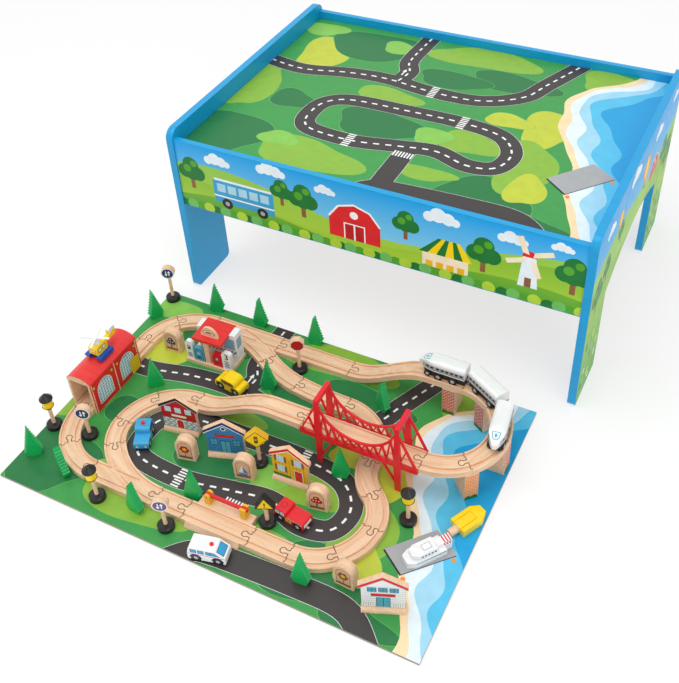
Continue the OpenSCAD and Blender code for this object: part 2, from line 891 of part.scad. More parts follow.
// Radius of an arc that falls by a depth over the reach of the nose
function nose_arc(depth) = (nose_reach * nose_reach + depth * depth) / (2 * depth);

// Plan with the left or the right side of the nose
module engine_plan(side) {
    r = nose_arc(train_w / 2);
    linear_extrude(train_h) {
        translate([-engine_l / 2, -train_w / 2]) square([engine_l - nose_l, train_w]);
        translate([nose_x, side * (train_w / 2 - r)]) circle(r, $fn = round_fn);
    }
}

module engine_shape() {
    r = nose_arc(train_h - body_z - nose_tip);
    intersection() {
        translate([-engine_l / 2, 0, 0]) rotate([90, 0, 90]) linear_extrude(engine_l) train_section();
        upright(train_w + 2 * cut) {
            translate([-engine_l / 2, 0]) square([engine_l - nose_l, train_h]);
            translate([nose_x, train_h - r]) circle(r, $fn = round_fn);
        }
        engine_plan(1);
        engine_plan(-1);
    }
}

module front_engine_body() {
    color("#e4e6e6") on_rails(front_engine_pose) engine_shape();
}

module coach_body() {
    color("#e4e6e6") on_rails(coach_pose) coach_shape();
}

module rear_engine_body() {
    color("#e4e6e6") on_rails(rear_engine_pose) engine_shape();
}

module axle_bores(axles, r, z, w) {
    for (x = axles) translate([x, 0, z]) rotate([90, 0, 0])
        cylinder(r = r, h = w + 2 * cut, center = true);
}

// The frame runs between the wheels, under a deck that carries the body
module chassis(back, front, axles) {
    difference() {
        union() {
            translate([-back, -chassis_w / 2, chassis_low])
                cube([back + front, chassis_w, body_z - chassis_deck - chassis_low]);
            translate([-back, -train_w / 2, body_z - chassis_deck])
                cube([back + front, train_w, chassis_deck]);
        }
        axle_bores(axles, axle_r + axle_gap, axle_z, chassis_w);
        children();
    }
}

module train_chassis() {
    engine_front = engine_l / 2 - 13;
    color("#202022") {
        on_rails(coach_pose) chassis(coach_l / 2, coach_l / 2, coach_axles);
        for (p = [front_engine_pose, rear_engine_pose]) on_rails(p) intersection() {
            chassis(engine_l / 2, engine_front, engine_axles)
                axle_bores([engine_axle + engine_lead], axle_r + axle_gap, lead_axle_z, chassis_w);
            engine_plan(1);
            engine_plan(-1);
        }
    }
}

module magnet(x, way_x) {
    z = (body_z - chassis_deck + chassis_low) / 2;
    translate([x, 0, z]) rotate([0, way_x * 90, 0]) cylinder(r = magnet_r, h = magnet_l);
}

module coupling_magnets() {
    color("silver") {
        on_rails(front_engine_pose) magnet(-engine_l / 2, -1);
        on_rails(coach_pose) magnet(coach_l / 2, 1);
        on_rails(coach_pose) magnet(-coach_l / 2, -1);
        on_rails(rear_engine_pose) magnet(-engine_l / 2, -1);
    }
}

// Two wheels on one axle along Y, with the axle's middle at the origin
module wheelset(r, w, mid) {
    hub_r = 0.45 * r;
    hub_h = 0.8;
    rotate([90, 0, 0]) cylinder(r = axle_r, h = 2 * mid + w, center = true);
    for (s = [-1, 1]) {
        translate([0, s * mid, 0]) rotate([90, 0, 0]) cylinder(r = r, h = w, center = true);
        translate([0, s * (mid + w / 2), 0]) rotate([-s * 90, 0, 0])
            cylinder(r1 = hub_r, r2 = 0.7 * hub_r, h = hub_h);
    }
}

module rail_wheelset(p, x) {
    color("#202022") on_rails(p) translate([x, 0, axle_z]) wheelset(rail_wheel_r, rail_wheel_w, gauge);
}

module lead_wheelset(p) {
    color("#202022") on_rails(p) translate([engine_axle + engine_lead, 0, lead_axle_z])
        wheelset(lead_wheel_r, rail_wheel_w, gauge);
}

module front_engine_wheelset_1() {
    rail_wheelset(front_engine_pose, engine_axles[0]);
}

module front_engine_wheelset_2() {
    rail_wheelset(front_engine_pose, engine_axles[1]);
}

module front_engine_wheelset_3() {
    lead_wheelset(front_engine_pose);
}

module coach_wheelset_1() {
    rail_wheelset(coach_pose, coach_axles[0]);
}

module coach_wheelset_2() {
    rail_wheelset(coach_pose, coach_axles[1]);
}

module rear_engine_wheelset_1() {
    rail_wheelset(rear_engine_pose, engine_axles[0]);
}

module rear_engine_wheelset_2() {
    rail_wheelset(rear_engine_pose, engine_axles[1]);
}

module rear_engine_wheelset_3() {
    lead_wheelset(rear_engine_pose);
}

// Road vehicles, with their front towards +X

road_axle_z = road_wheel_r + wheel_gap;
road_side_gap = 0.7;
road_wheel_y = car_w / 2 - road_wheel_w / 2 - 0.4;
well_y = road_wheel_y - road_wheel_w / 2 - road_side_gap;

module road_body(base) {
    well_r = road_wheel_r + 1.3;
    difference() {
        upright(car_w) children();
        axle_bores([base / 2, -base / 2], axle_r + axle_gap, road_axle_z, car_w);
        for (s = [-1, 1], e = [-1, 1])
            translate([e * base / 2, s * well_y, road_axle_z]) rotate([-s * 90, 0, 0])
                cylinder(r = well_r, h = car_w);
    }
}

module road_wheelset(p, x) {
    color("#202022") on_board() at(p) translate([x, 0, road_axle_z])
        wheelset(road_wheel_r, road_wheel_w, road_wheel_y);
}

taxi_l = 62;
taxi_base = 36;
blue_car_l = 56;
blue_car_base = 33;
fire_engine_l = 60;
fire_engine_base = 36;
ambulance_l = 66;
ambulance_base = 38;

module taxi_body() {
    color("#fad714") on_board() at(taxi_pose) road_body(taxi_base) {
        translate([-taxi_l / 2, car_z]) rounded(taxi_l, 16, 6);
        translate([-20, car_z + 6]) rounded(37, 22, 10);
    }
}

module taxi_wheelset_1() {
    road_wheelset(taxi_pose, taxi_base / 2);
}

module taxi_wheelset_2() {
    road_wheelset(taxi_pose, -taxi_base / 2);
}

module blue_car_body() {
    beacon_r = 3.5;
    beacon_h = 4;
    roof = car_z + 28;
    color("#3caad7") on_board() at(blue_car_pose) {
        road_body(blue_car_base) {
            translate([-blue_car_l / 2, car_z]) rounded(blue_car_l, 16, 5);
            translate([-blue_car_l / 2 + 2, car_z + 8]) rounded(29, 20, 6);
        }
        translate([-11, 0, roof]) cylinder(r = beacon_r, h = beacon_h);
    }
}

module blue_car_wheelset_1() {
    road_wheelset(blue_car_pose, blue_car_base / 2);
}

module blue_car_wheelset_2() {
    road_wheelset(blue_car_pose, -blue_car_base / 2);
}

module fire_engine_body() {
    color("#e1282d") on_board() at(fire_engine_pose) road_body(fire_engine_base) {
        translate([-fire_engine_l / 2, car_z]) rounded(fire_engine_l, 16.5, 4);
        translate([fire_engine_l / 2 - 25, car_z + 6]) rounded(24, 18.5, 4);
    }
}

module fire_engine_wheelset_1() {
    road_wheelset(fire_engine_pose, fire_engine_base / 2);
}

module fire_engine_wheelset_2() {
    road_wheelset(fire_engine_pose, -fire_engine_base / 2);
}

module ambulance_body() {
    beacon_r = 3.5;
    beacon_h = 2;
    edge_r = 3;
    half = ambulance_l / 2 - edge_r;
    low = car_z + edge_r;
    roof = car_z + 30;
    corners = [
        [-half, low], [half, low], [half, car_z + 14], [half - 16, roof - edge_r], [3 - half, roof - edge_r],
        [-half, car_z + 14]
    ];
    color("#eef2f4") on_board() at(ambulance_pose) {
        road_body(ambulance_base) hull() for (p = corners) translate(p) circle(edge_r);
        translate([7, 0, roof]) cylinder(r = beacon_r, h = beacon_h);
    }
}

module ambulance_wheelset_1() {
    road_wheelset(ambulance_pose, ambulance_base / 2);
}

module ambulance_wheelset_2() {
    road_wheelset(ambulance_pose, -ambulance_base / 2);
}

// Engine shed, with the helicopter on its roof

shed_half = track_w / 2 + shed_gap + shed_t;
roof_half = shed_half + 1;
roof_r = (roof_half * roof_half + shed_rise * shed_rise) / (2 * shed_rise);
roof_centre = shed_h + shed_eave + shed_rise - roof_r;
float_w = 12;
float_h = 9;
float_y = 13;
seat_gap = 0.3;
seat_y = float_y - float_w / 2;
float_z = roof_centre + sqrt(roof_r * roof_r - seat_y * seat_y) + seat_gap;
cabin_z = float_z + float_h;
cabin_h = 20;
mast_z = cabin_z + cabin_h + 14;

module engine_shed_walls() {
    color("#c8141e") on_board() at(shed_pose) for (s = [-1, 1])
        translate([-shed_l / 2, s * (shed_half - shed_t / 2) - shed_t / 2, 0])
            cube([shed_l, shed_t, shed_h]);
}

module engine_shed_roof() {
    color("#e1282d") on_board() at(shed_pose) translate([-shed_l / 2, 0, 0]) rotate([90, 0, 90])
        linear_extrude(shed_l) intersection() {
            translate([0, roof_centre]) circle(roof_r, $fn = 160);
            translate([-roof_half, shed_h]) square([2 * roof_half, shed_eave + shed_rise + cut]);
        }
}

module helicopter_body() {
    bow_l = 6;
    deck_l = 26;
    deck_t = 3;
    cabin_l = 30;
    cabin_w = 20;
    tail_w = 8;
    boom_l = 40;
    fin_l = 17;
    fin_h = 20;
    housing_r = 7;
    housing_h = 5;
    color("#fadc14") on_board() at(helicopter_pose) {
        for (s = [-1, 1]) translate([0, s * float_y, float_z]) upright(float_w)
            polygon([
                [-float_l / 2, 0], [float_l / 2 - bow_l, 0], [float_l / 2, float_h / 2],
                [float_l / 2, float_h], [-float_l / 2, float_h]
            ]);
        translate([-deck_l / 2, -float_y, cabin_z - deck_t]) cube([deck_l, 2 * float_y, deck_t]);
        translate([-cabin_l / 2, 0, cabin_z - deck_t]) upright(cabin_w)
            rounded(cabin_l, cabin_h + deck_t, 7);
        translate([0, 0, cabin_z]) upright(tail_w) {
            translate([-boom_l, cabin_h / 2 - 3]) square([boom_l, 7]);
            translate([-boom_l - fin_l / 2, cabin_h / 2 - 3]) rounded(fin_l, fin_h, 4);
        }
        translate([0, 0, cabin_z + cabin_h - deck_t]) cylinder(r = housing_r, h = housing_h + deck_t);
        translate([0, 0, cabin_z + cabin_h]) cylinder(r = axle_r, h = mast_z - cabin_z - cabin_h);
    }
}

module helicopter_rotor() {
    hub_r = 4;
    hub_h = 4;
    blade_w = 5;
    blade_t = 1.4;
    hub_z = mast_z - hub_h - 0.5;
    color("white") on_board() at(helicopter_pose) translate([0, 0, hub_z]) difference() {
        union() {
            cylinder(r = hub_r, h = hub_h);
            for (a = [20, 110]) rotate(a)
                translate([-rotor_r, -blade_w / 2, hub_h - blade_t]) cube([2 * rotor_r, blade_w, blade_t]);
        }
        translate([0, 0, -cut]) cylinder(r = axle_r + axle_gap, h = hub_h + 2 * cut);
    }
}

// Boats

// Plan of a hull with a blunt bow towards +X
module hull_outline(l, w, bow_l, bow_w) {
    polygon([
        [-l / 2, -w / 2], [l / 2 - bow_l, -w / 2], [l / 2, -bow_w / 2], [l / 2, bow_w / 2],
        [l / 2 - bow_l, w / 2], [-l / 2, w / 2]
    ]);
}

module ferry() {
    hull_l = ferry_l - 14;
    hull_h = 14;
    deck_l = 44;
    deck_h = 10;
    aft_l = 28;
    aft_w = 15;
    aft_h = 22;
    color("#f2f4f4") on_board() at(ferry_pose) {
        translate([(ferry_l - hull_l) / 2, 0, 0]) linear_extrude(hull_h)
            hull_outline(hull_l, ferry_w, 13, 18);
        translate([9, 0, hull_h]) linear_extrude(deck_h) hull_outline(deck_l, ferry_w - 6, 9, 13);
        translate([-ferry_l / 2, -aft_w / 2, 0]) cube([aft_l, aft_w, aft_h]);
    }
}

// The barge has a groove round three sides of its deck and a turned knob at its stern
module barge() {
    hull_h = 15;
    line_w = 2;
    line_d = 1.5;
    deck_l = barge_l - 20;
    deck_w = barge_w - 14;
    knob_r = 7;
    ring_r = 8;
    ring_l = 3;
    color("#ffdc00") on_board() at(barge_pose) {
        difference() {
            linear_extrude(hull_h) hull_outline(barge_l, barge_w, 15, 15);
            translate([-barge_l / 2 - cut, 0, hull_h - line_d]) linear_extrude(line_d + cut) difference() {
                translate([0, -deck_w / 2]) square([deck_l + cut, deck_w]);
                translate([-cut, line_w - deck_w / 2])
                    square([deck_l + 2 * cut - line_w, deck_w - 2 * line_w]);
            }
        }
        translate([-barge_l / 2, 0, ring_r]) rotate([0, -90, 0]) {
            cylinder(r = ring_r, h = ring_l);
            cylinder(r = knob_r, h = knob_l);
        }
    }
}

// Fuel station

fuel_shop_d = 24;
// Each pump or board is [x, width, height above the base]
fuel_pumps = [[-51, 16, 46], [-34, 24, 34], [9, 21, 34], [31.5, 20, 44]];
canopy_w = 64;
canopy_d = 62;
canopy_shift = 5;

module fuel_station() {
    shop_left = -36;
    shop_right = fuel_w / 2 - 2;
    shop_y = fuel_d / 2 - fuel_shop_d - 3;
    shop_h = canopy_z - fuel_base_h;
    canopy_gap = 0.3;
    pump_r = 7;
    left_end = canopy_shift - canopy_w / 2 - canopy_gap;
    right_end = canopy_shift + canopy_w / 2 + canopy_gap;
    post_y = -fuel_d / 2 + 4;
    post_d = 9;
    color("#f0f0ee") on_board() at(fuel_pose) {
        translate([-fuel_w / 2, -fuel_d / 2, 0]) cube([fuel_w, fuel_d, fuel_base_h]);
        translate([shop_left, shop_y, fuel_base_h]) cube([shop_right - shop_left, fuel_shop_d, shop_h]);
        translate([shop_left, shop_y, canopy_z - cut])
            cube([left_end - shop_left, fuel_shop_d, canopy_t + cut]);
        translate([right_end, shop_y, canopy_z - cut])
            cube([shop_right - right_end, fuel_shop_d, canopy_t + cut]);
        for (p = fuel_pumps) translate([p[0], post_y + post_d / 2, fuel_base_h - pump_r]) upright(post_d)
            rounded(p[1], p[2] + pump_r, pump_r);
        translate([-8, post_y, fuel_base_h]) cube([11, 6, shop_h]);
    }
}

module fuel_canopy() {
    sign_half = 19;
    sign_h = 24;
    sign_y = -15;
    color("#f04646") on_board() at(fuel_pose) translate([canopy_shift, 0, canopy_z]) {
        translate([-canopy_w / 2, -canopy_d / 2, 0]) cube([canopy_w, canopy_d, canopy_t]);
        translate([0, sign_y, canopy_t]) upright(5) intersection() {
            scale([sign_half / sign_h, 1]) circle(sign_h);
            translate([-sign_half, 0]) square([2 * sign_half, sign_h]);
        }
    }
}

// Houses and picture blocks

module house_shape() {
    roof_over = 5;
    half = house_w / 2;
    upright(house_t) {
        polygon([
            [-half, 0], [half, 0], [half, house_eave - 6], [half + roof_over, house_eave - 8],
            [half + roof_over, house_eave], [0, house_ridge], [-half - roof_over, house_eave],
            [-half - roof_over, house_eave - 8], [-half, house_eave - 6]
        ]);
    }
    intersection() {
        translate([-half - 1, 0, 0]) rotate([0, 90, 0]) cylinder(r = house_foot_r, h = house_w + 2);
        translate([-house_w, -house_foot_r, 0]) cube([2 * house_w, 2 * house_foot_r, house_foot_r]);
    }
}

module toy_houses() {
    color("#3c82b4") on_board() for (p = house_poses) at(p) house_shape();
}

module picture_blocks() {
    color("#dcb48c") on_board() for (p = block_poses) at(p) upright(block_t) {
        translate([-block_w / 2, 0]) square([block_w, block_h - block_w / 2]);
        translate([0, block_h - block_w / 2]) circle(block_w / 2);
    }
}

// Trees, signs and lamps

// A flat fir with teeth along both sides, narrower at its foot
module fir_outline() {
    deepest = 0.6;
    side = [for (i = [0 : tree_teeth - 1], k = [0, 0.5])
        let (t = (i + k) / tree_teeth, r = tree_w / 2 * (1 - t))
        [k == 0 ? r : r - min(tree_notch, deepest * r), tree_skirt + t * (tree_h - tree_skirt)]];
    polygon(concat(
        [[tree_foot / 2, 0]], side, [[0, tree_h]],
        [for (i = [len(side) - 1 : -1 : 0]) [-side[i][0], side[i][1]]], [[-tree_foot / 2, 0]]
    ));
}

module trees() {
    color("#14a54b") on_board() for (p = tree_poses) at(p) upright(tree_t) fir_outline();
}

module stand() {
    rim = 2.5;
    cylinder(r = stand_r, h = stand_h - rim);
    translate([0, 0, stand_h - rim]) cylinder(r1 = stand_r, r2 = stand_r - rim, h = rim);
}

// The posts end inside the heads, which stand at their own heights
function head_z(p) = sign_z + p[3];
function post_top(p) = head_z(p) - 4;

module sign_stands() {
    color("#202022") on_board() for (p = sign_spots) translate([p[0], p[1], 0]) {
        stand();
        cylinder(r = post_r, h = post_top(p));
    }
}

module sign_outline(shape) {
    if (shape == 0) circle(sign_r);
    if (shape == 1) rotate(22.5) circle(sign_r, $fn = 8);
    if (shape == 2) rotate(45) square(diamond_s, center = true);
    if (shape == 3) translate([0, -triangle_r / 2]) rotate(90) circle(triangle_r, $fn = 3);
}

module sign_faces() {
    color("#3c2d5a") on_board() for (p = sign_spots) translate([p[0], p[1], 0]) difference() {
        translate([0, 0, head_z(p)]) rotate(sign_turn) upright(sign_t) sign_outline(p[2]);
        cylinder(r = post_r + fit_gap, h = post_top(p));
    }
}

module street_lamps() {
    cup_r = 11;
    cup_h = 5;
    band_r = 10;
    band_h = 17;
    rim_h = 2;
    cap_h = 12;
    cup_z = lamp_h - cap_h - rim_h - band_h - cup_h;
    color("#202022") on_board() for (p = lamp_spots) translate(p) {
        stand();
        cylinder(r = post_r, h = cup_z + 1);
        translate([0, 0, cup_z]) cylinder(r1 = 0.7 * cup_r, r2 = cup_r, h = cup_h);
        translate([0, 0, cup_z + cup_h]) cylinder(r = band_r, h = band_h);
        translate([0, 0, lamp_h - cap_h - rim_h]) cylinder(r = lamp_r, h = rim_h);
        translate([0, 0, lamp_h - cap_h]) cylinder(r1 = lamp_r, r2 = 0.1 * lamp_r, h = cap_h);
    }
}

// Crossing gate, drawn from its pivot

gate_post_l = 11;
gate_post_w = 14;
arm_w = 5;
arm_h = 6;
arm_tail = 5;
arm_tip = 7;
arm_gap = 0.4;
arm_sweep = norm([arm_tail, arm_h / 2]) + arm_gap;

module on_gate() {
    on_board() at(gate_pose, track_h) children();
}

module gate_posts() {
    fork_w = arm_w + 2 * arm_gap;
    rest_z = gate_z - arm_h / 2 - arm_gap;
    post_h = gate_z + gate_post_l / 2;
    color("#fad200") on_gate() {
        difference() {
            upright(gate_post_w) {
                translate([-gate_post_l / 2, 0]) square([gate_post_l, gate_z]);
                translate([0, gate_z]) circle(gate_post_l / 2);
            }
            translate([-gate_post_l, -fork_w / 2, gate_z - arm_sweep])
                cube([2 * gate_post_l, fork_w, post_h]);
            rotate([90, 0, 0]) translate([0, gate_z, 0])
                cylinder(r = axle_r + axle_gap, h = gate_post_w + 2 * cut, center = true);
        }
        difference() {
            translate([gate_span - gate_post_l / 2, -gate_post_w / 2, 0])
                cube([gate_post_l, gate_post_w, post_h]);
            translate([gate_span - gate_post_l, -fork_w / 2, rest_z])
                cube([2 * gate_post_l, fork_w, post_h]);
        }
    }
}

module gate_arm() {
    color("#e1282d") on_gate() translate([0, 0, gate_z]) {
        translate([-arm_tail, -arm_w / 2, -arm_h / 2]) cube([arm_tail + gate_span + arm_tip, arm_w, arm_h]);
        rotate([90, 0, 0]) cylinder(r = axle_r, h = gate_post_w, center = true);
    }
}

left_end_panel();
right_end_panel();
front_apron();
back_apron();
top_panel();
ledger_strips();
cross_rails();
cam_bolts();
cam_locks();
dowels();
ledger_screws();
play_board();
curved_tracks();
straight_tracks();
switch_tracks();
ramp_tracks();
crossing_track();
track_risers();
suspension_bridge();
front_engine_body();
coach_body();
rear_engine_body();
train_chassis();
coupling_magnets();
front_engine_wheelset_1();
front_engine_wheelset_2();
front_engine_wheelset_3();
coach_wheelset_1();
coach_wheelset_2();
rear_engine_wheelset_1();
rear_engine_wheelset_2();
rear_engine_wheelset_3();
taxi_body();
taxi_wheelset_1();
taxi_wheelset_2();
blue_car_body();
blue_car_wheelset_1();
blue_car_wheelset_2();
fire_engine_body();
fire_engine_wheelset_1();
fire_engine_wheelset_2();
ambulance_body();
ambulance_wheelset_1();
ambulance_wheelset_2();
helicopter_body();
helicopter_rotor();
ferry();
barge();
engine_shed_walls();
engine_shed_roof();
fuel_station();
fuel_canopy();
toy_houses();
picture_blocks();
trees();
sign_stands();
sign_faces();
street_lamps();
gate_posts();
gate_arm();
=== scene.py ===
import json
import math

import bpy
from bpy.props import FloatProperty, FloatVectorProperty, PointerProperty
from mathutils import Matrix, Vector
from mathutils.kdtree import KDTree


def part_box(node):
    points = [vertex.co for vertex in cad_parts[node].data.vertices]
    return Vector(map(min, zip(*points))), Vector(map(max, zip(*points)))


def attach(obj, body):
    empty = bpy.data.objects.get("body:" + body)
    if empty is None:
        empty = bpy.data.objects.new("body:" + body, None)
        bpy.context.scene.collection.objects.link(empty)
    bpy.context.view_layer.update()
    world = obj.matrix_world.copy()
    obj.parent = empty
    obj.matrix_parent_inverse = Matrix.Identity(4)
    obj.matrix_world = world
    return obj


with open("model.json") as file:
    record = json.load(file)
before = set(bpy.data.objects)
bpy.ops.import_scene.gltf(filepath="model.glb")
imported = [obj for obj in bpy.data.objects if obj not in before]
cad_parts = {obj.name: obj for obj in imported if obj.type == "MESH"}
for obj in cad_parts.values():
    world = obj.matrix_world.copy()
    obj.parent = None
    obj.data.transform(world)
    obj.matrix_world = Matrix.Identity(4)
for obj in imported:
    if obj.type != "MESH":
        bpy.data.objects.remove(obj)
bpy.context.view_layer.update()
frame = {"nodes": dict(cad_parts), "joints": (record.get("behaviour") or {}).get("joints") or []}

bl_info = {
    "name": "Train Table Finishes",
    "version": (1, 0, 0),
    "blender": (4, 5, 0),
    "location": "View3D > Sidebar > Train Table",
    "description": "Paints, prints and lights the train table with its play board and toy railway",
    "category": "Object",
}

ROOT = "table_and_set"
MM = 0.001
UP = Vector((0, 0, 1))

# Places on the play board: millimetres from its near left corner, and a heading in degrees
BOARD = (0, 0, 0)
TAXI = (270, 356, 172)
BLUE_CAR = (191, 178, -64)
FIRE_ENGINE = (526, 142, 172)
AMBULANCE = (436, 22, 13)
SHED = (45, 261, 90)
FUEL_STATION = (198, 411, 2)
HOUSES = [(243, 227, 10), (350, 214, 18), (484, 212, 2), (732, 60, 22)]
BLOCKS = [(106, 399, 4), (287, 179, 12), (404, 187, 12), (552, 184, 10), (660, 74, -2)]
SIGNS = [
    (15, 524, 0, 10), (92, 143, 0, 0), (338, 37, 0, 0), (366, 452, 1, 7), (412, 222, 2, 4),
    (489, 118, 3, 0),
]
SIGN_TURN = 24
FERRY = (755, 177, 233)
BARGE = (794.5, 263.5, 63)
HELICOPTER = (45, 260, -90)
RAISED_CURVE = (696, 391)
RISERS = [(671, 488, 0), (744.5, 475, -30), (793, 391, -90), (764.6, 322.4, -135)]
TRAIN_RAIL_Z = 77
FRONT_ENGINE = (652, 488, 180)
COACH_ANGLE = 60
COACH_RADIUS = 94.92
REAR_ANGLE = 8
REAR_RADIUS = 95.98
REAR_SHIFT = 9


def raised_pose(angle, radius, heading, shift=0.0):
    """A train car's place on the raised curve, moved ahead by a shift."""
    a = math.radians(angle)
    h = math.radians(heading)
    x = RAISED_CURVE[0] + radius * math.cos(a) + shift * math.cos(h)
    y = RAISED_CURVE[1] + radius * math.sin(a) + shift * math.sin(h)
    return (x, y, heading)


COACH = raised_pose(COACH_ANGLE, COACH_RADIUS, COACH_ANGLE + 90)
REAR_ENGINE = raised_pose(REAR_ANGLE, REAR_RADIUS, REAR_ANGLE - 90, REAR_SHIFT)


def linear(r, g, b):
    """A screen colour of 0 to 255 as the linear values that Blender uses."""
    values = []
    for v in (r, g, b):
        c = v / 255
        values.append(c / 12.92 if c <= 0.04045 else ((c + 0.055) / 1.055) ** 2.4)
    return tuple(values)


def colour(name, what, r, g, b):
    """A colour property."""
    return FloatVectorProperty(
        name=name, description=what, subtype="COLOR", size=3, min=0, max=1, default=linear(r, g, b))


def length(name, what, value):
    """A length property, stored in metres and given in millimetres."""
    return FloatProperty(
        name=name, description=what, subtype="DISTANCE", unit="LENGTH", min=0, default=value * MM)


class TrainTableColours(bpy.types.PropertyGroup):
    """Paints, inks and woods of the table and its set"""

    edge_blue: colour("Edge blue", "Painted edges and inner faces of the table", 12, 156, 214)
    beech: colour("Beech", "Smooth wood of the tracks and blocks", 240, 206, 172)
    beech_dark: colour("Beech grain", "Darker grain of the beech", 224, 182, 144)
    pine: colour("Pine", "Unfinished strips under the top", 226, 196, 150)
    pine_dark: colour("Pine grain", "Darker grain of the pine", 200, 160, 108)
    grass: colour("Grass", "Ground of the play map", 62, 152, 74)
    meadow: colour("Meadow", "Darker patches of the play map", 36, 118, 64)
    lime: colour("Lime", "Bright patches of the play map", 136, 182, 62)
    straw: colour("Straw", "Yellow-green patches of the play map", 190, 202, 62)
    road: colour("Road", "Charcoal of the printed roads", 62, 58, 58)
    line_white: colour("White line", "Road markings and white prints", 244, 246, 244)
    sand: colour("Sand", "Beach of the play map", 248, 220, 176)
    foam: colour("Foam", "Palest water at the beach", 226, 240, 246)
    shallow: colour("Shallows", "Pale water", 160, 214, 238)
    water: colour("Water", "Clear water", 84, 190, 230)
    deep: colour("Deep water", "Deepest water", 24, 160, 218)
    stone: colour("Stone", "Quay and stone walls", 168, 170, 172)
    sky: colour("Sky", "Upper sky of the printed scenery", 0, 160, 232)
    haze: colour("Haze", "Lower sky of the printed scenery", 150, 222, 246)
    hill: colour("Hill", "Printed hills", 80, 164, 44)
    hill_light: colour("Sunlit hill", "Sunlit side of the printed hills", 176, 214, 60)
    hill_far: colour("Far hill", "Printed hills far away", 132, 194, 82)
    leaf: colour("Leaf", "Printed tree crowns", 22, 118, 50)
    bush: colour("Bush", "Printed bushes", 110, 190, 96)
    trunk: colour("Trunk", "Printed trunks, shutters and fences", 140, 92, 56)
    cloud: colour("Cloud", "Printed clouds", 232, 244, 252)
    signal_red: colour("Signal red", "Red paint and prints", 222, 34, 42)
    dark_red: colour("Dark red", "Shed walls and dark red prints", 190, 22, 34)
    roof_red: colour("Roof red", "Roofs and canopy", 226, 52, 50)
    bridge_red: colour("Bridge red", "Moulded plastic of the bridge", 226, 24, 42)
    yellow: colour("Yellow", "Yellow paint and prints", 252, 214, 20)
    amber: colour("Amber", "Warm yellow paint", 238, 184, 36)
    taxi_yellow: colour("Taxi yellow", "Paint of the taxi", 250, 212, 16)
    orange: colour("Orange", "Buoys and small marks", 244, 144, 30)
    car_blue: colour("Car blue", "Paint of the blue car", 56, 162, 212)
    house_blue: colour("House blue", "Boards of the blue house", 62, 136, 190)
    navy: colour("Navy", "Dark blue prints", 36, 52, 110)
    plum: colour("Plum", "Purple sign", 110, 84, 130)
    teal: colour("Teal", "Windows and doors", 84, 170, 190)
    glass: colour("Glass", "Pale blue windows", 172, 218, 236)
    pane: colour("Pane", "Panes of the shed and the shop", 128, 178, 202)
    white: colour("White", "White paint", 240, 242, 242)
    silver: colour("Silver grey", "Bodies of the train", 238, 239, 238)
    steel: colour("Steel", "Zinc-plated fittings", 176, 178, 182)
    black: colour("Black", "Black paint and plastic", 34, 34, 36)
    cream: colour("Cream", "Bare name boards and ovals", 246, 232, 200)
    tree_green: colour("Tree green", "Moulded trees", 22, 178, 92)
    # Painted shade: the colour of the thin dark lines laid along the gaps between the track pieces.
    seam: colour("Seam", "Dark joints between the track pieces", 92, 58, 38)
    board_edge: colour("Board edge", "Sawn edge of the play board", 150, 138, 124)
    brick: colour("Brick", "Printed bricks", 196, 66, 50)
    brick_amber: colour("Amber brick", "Printed bricks of the amber riser", 232, 134, 44)
    mortar: colour("Mortar", "Joints between the printed bricks", 236, 212, 186)
    float_blue: colour("Float blue", "Floats of the helicopter", 30, 78, 178)
    floor: colour("Floor", "Studio floor", 250, 250, 250)


class TrainTableSizes(bpy.types.PropertyGroup):
    """Sizes of the prints and eased edges"""

    lift: length("Print lift", "Height of a print above its face", 0.06)
    layer: length("Ink layer", "Height of each ink above the one below", 0.02)
    panel_edge: length("Panel edge", "Easing of the table's edges", 1.2)
    toy_edge: length("Toy edge", "Easing of the wooden toys' edges", 0.7)
    road_width: length("Road width", "Width of the printed roads", 42)
    dash: length("Dash", "Length of a dash in a road's middle line", 12)


def paints():
    """The colour settings of the scene."""
    return bpy.context.scene.train_table_colours


def sizes():
    """The size settings of the scene."""
    return bpy.context.scene.train_table_sizes


def tinted(value, factor):
    """A colour made lighter or darker."""
    return tuple(min(1.0, max(0.0, v * factor)) for v in value)


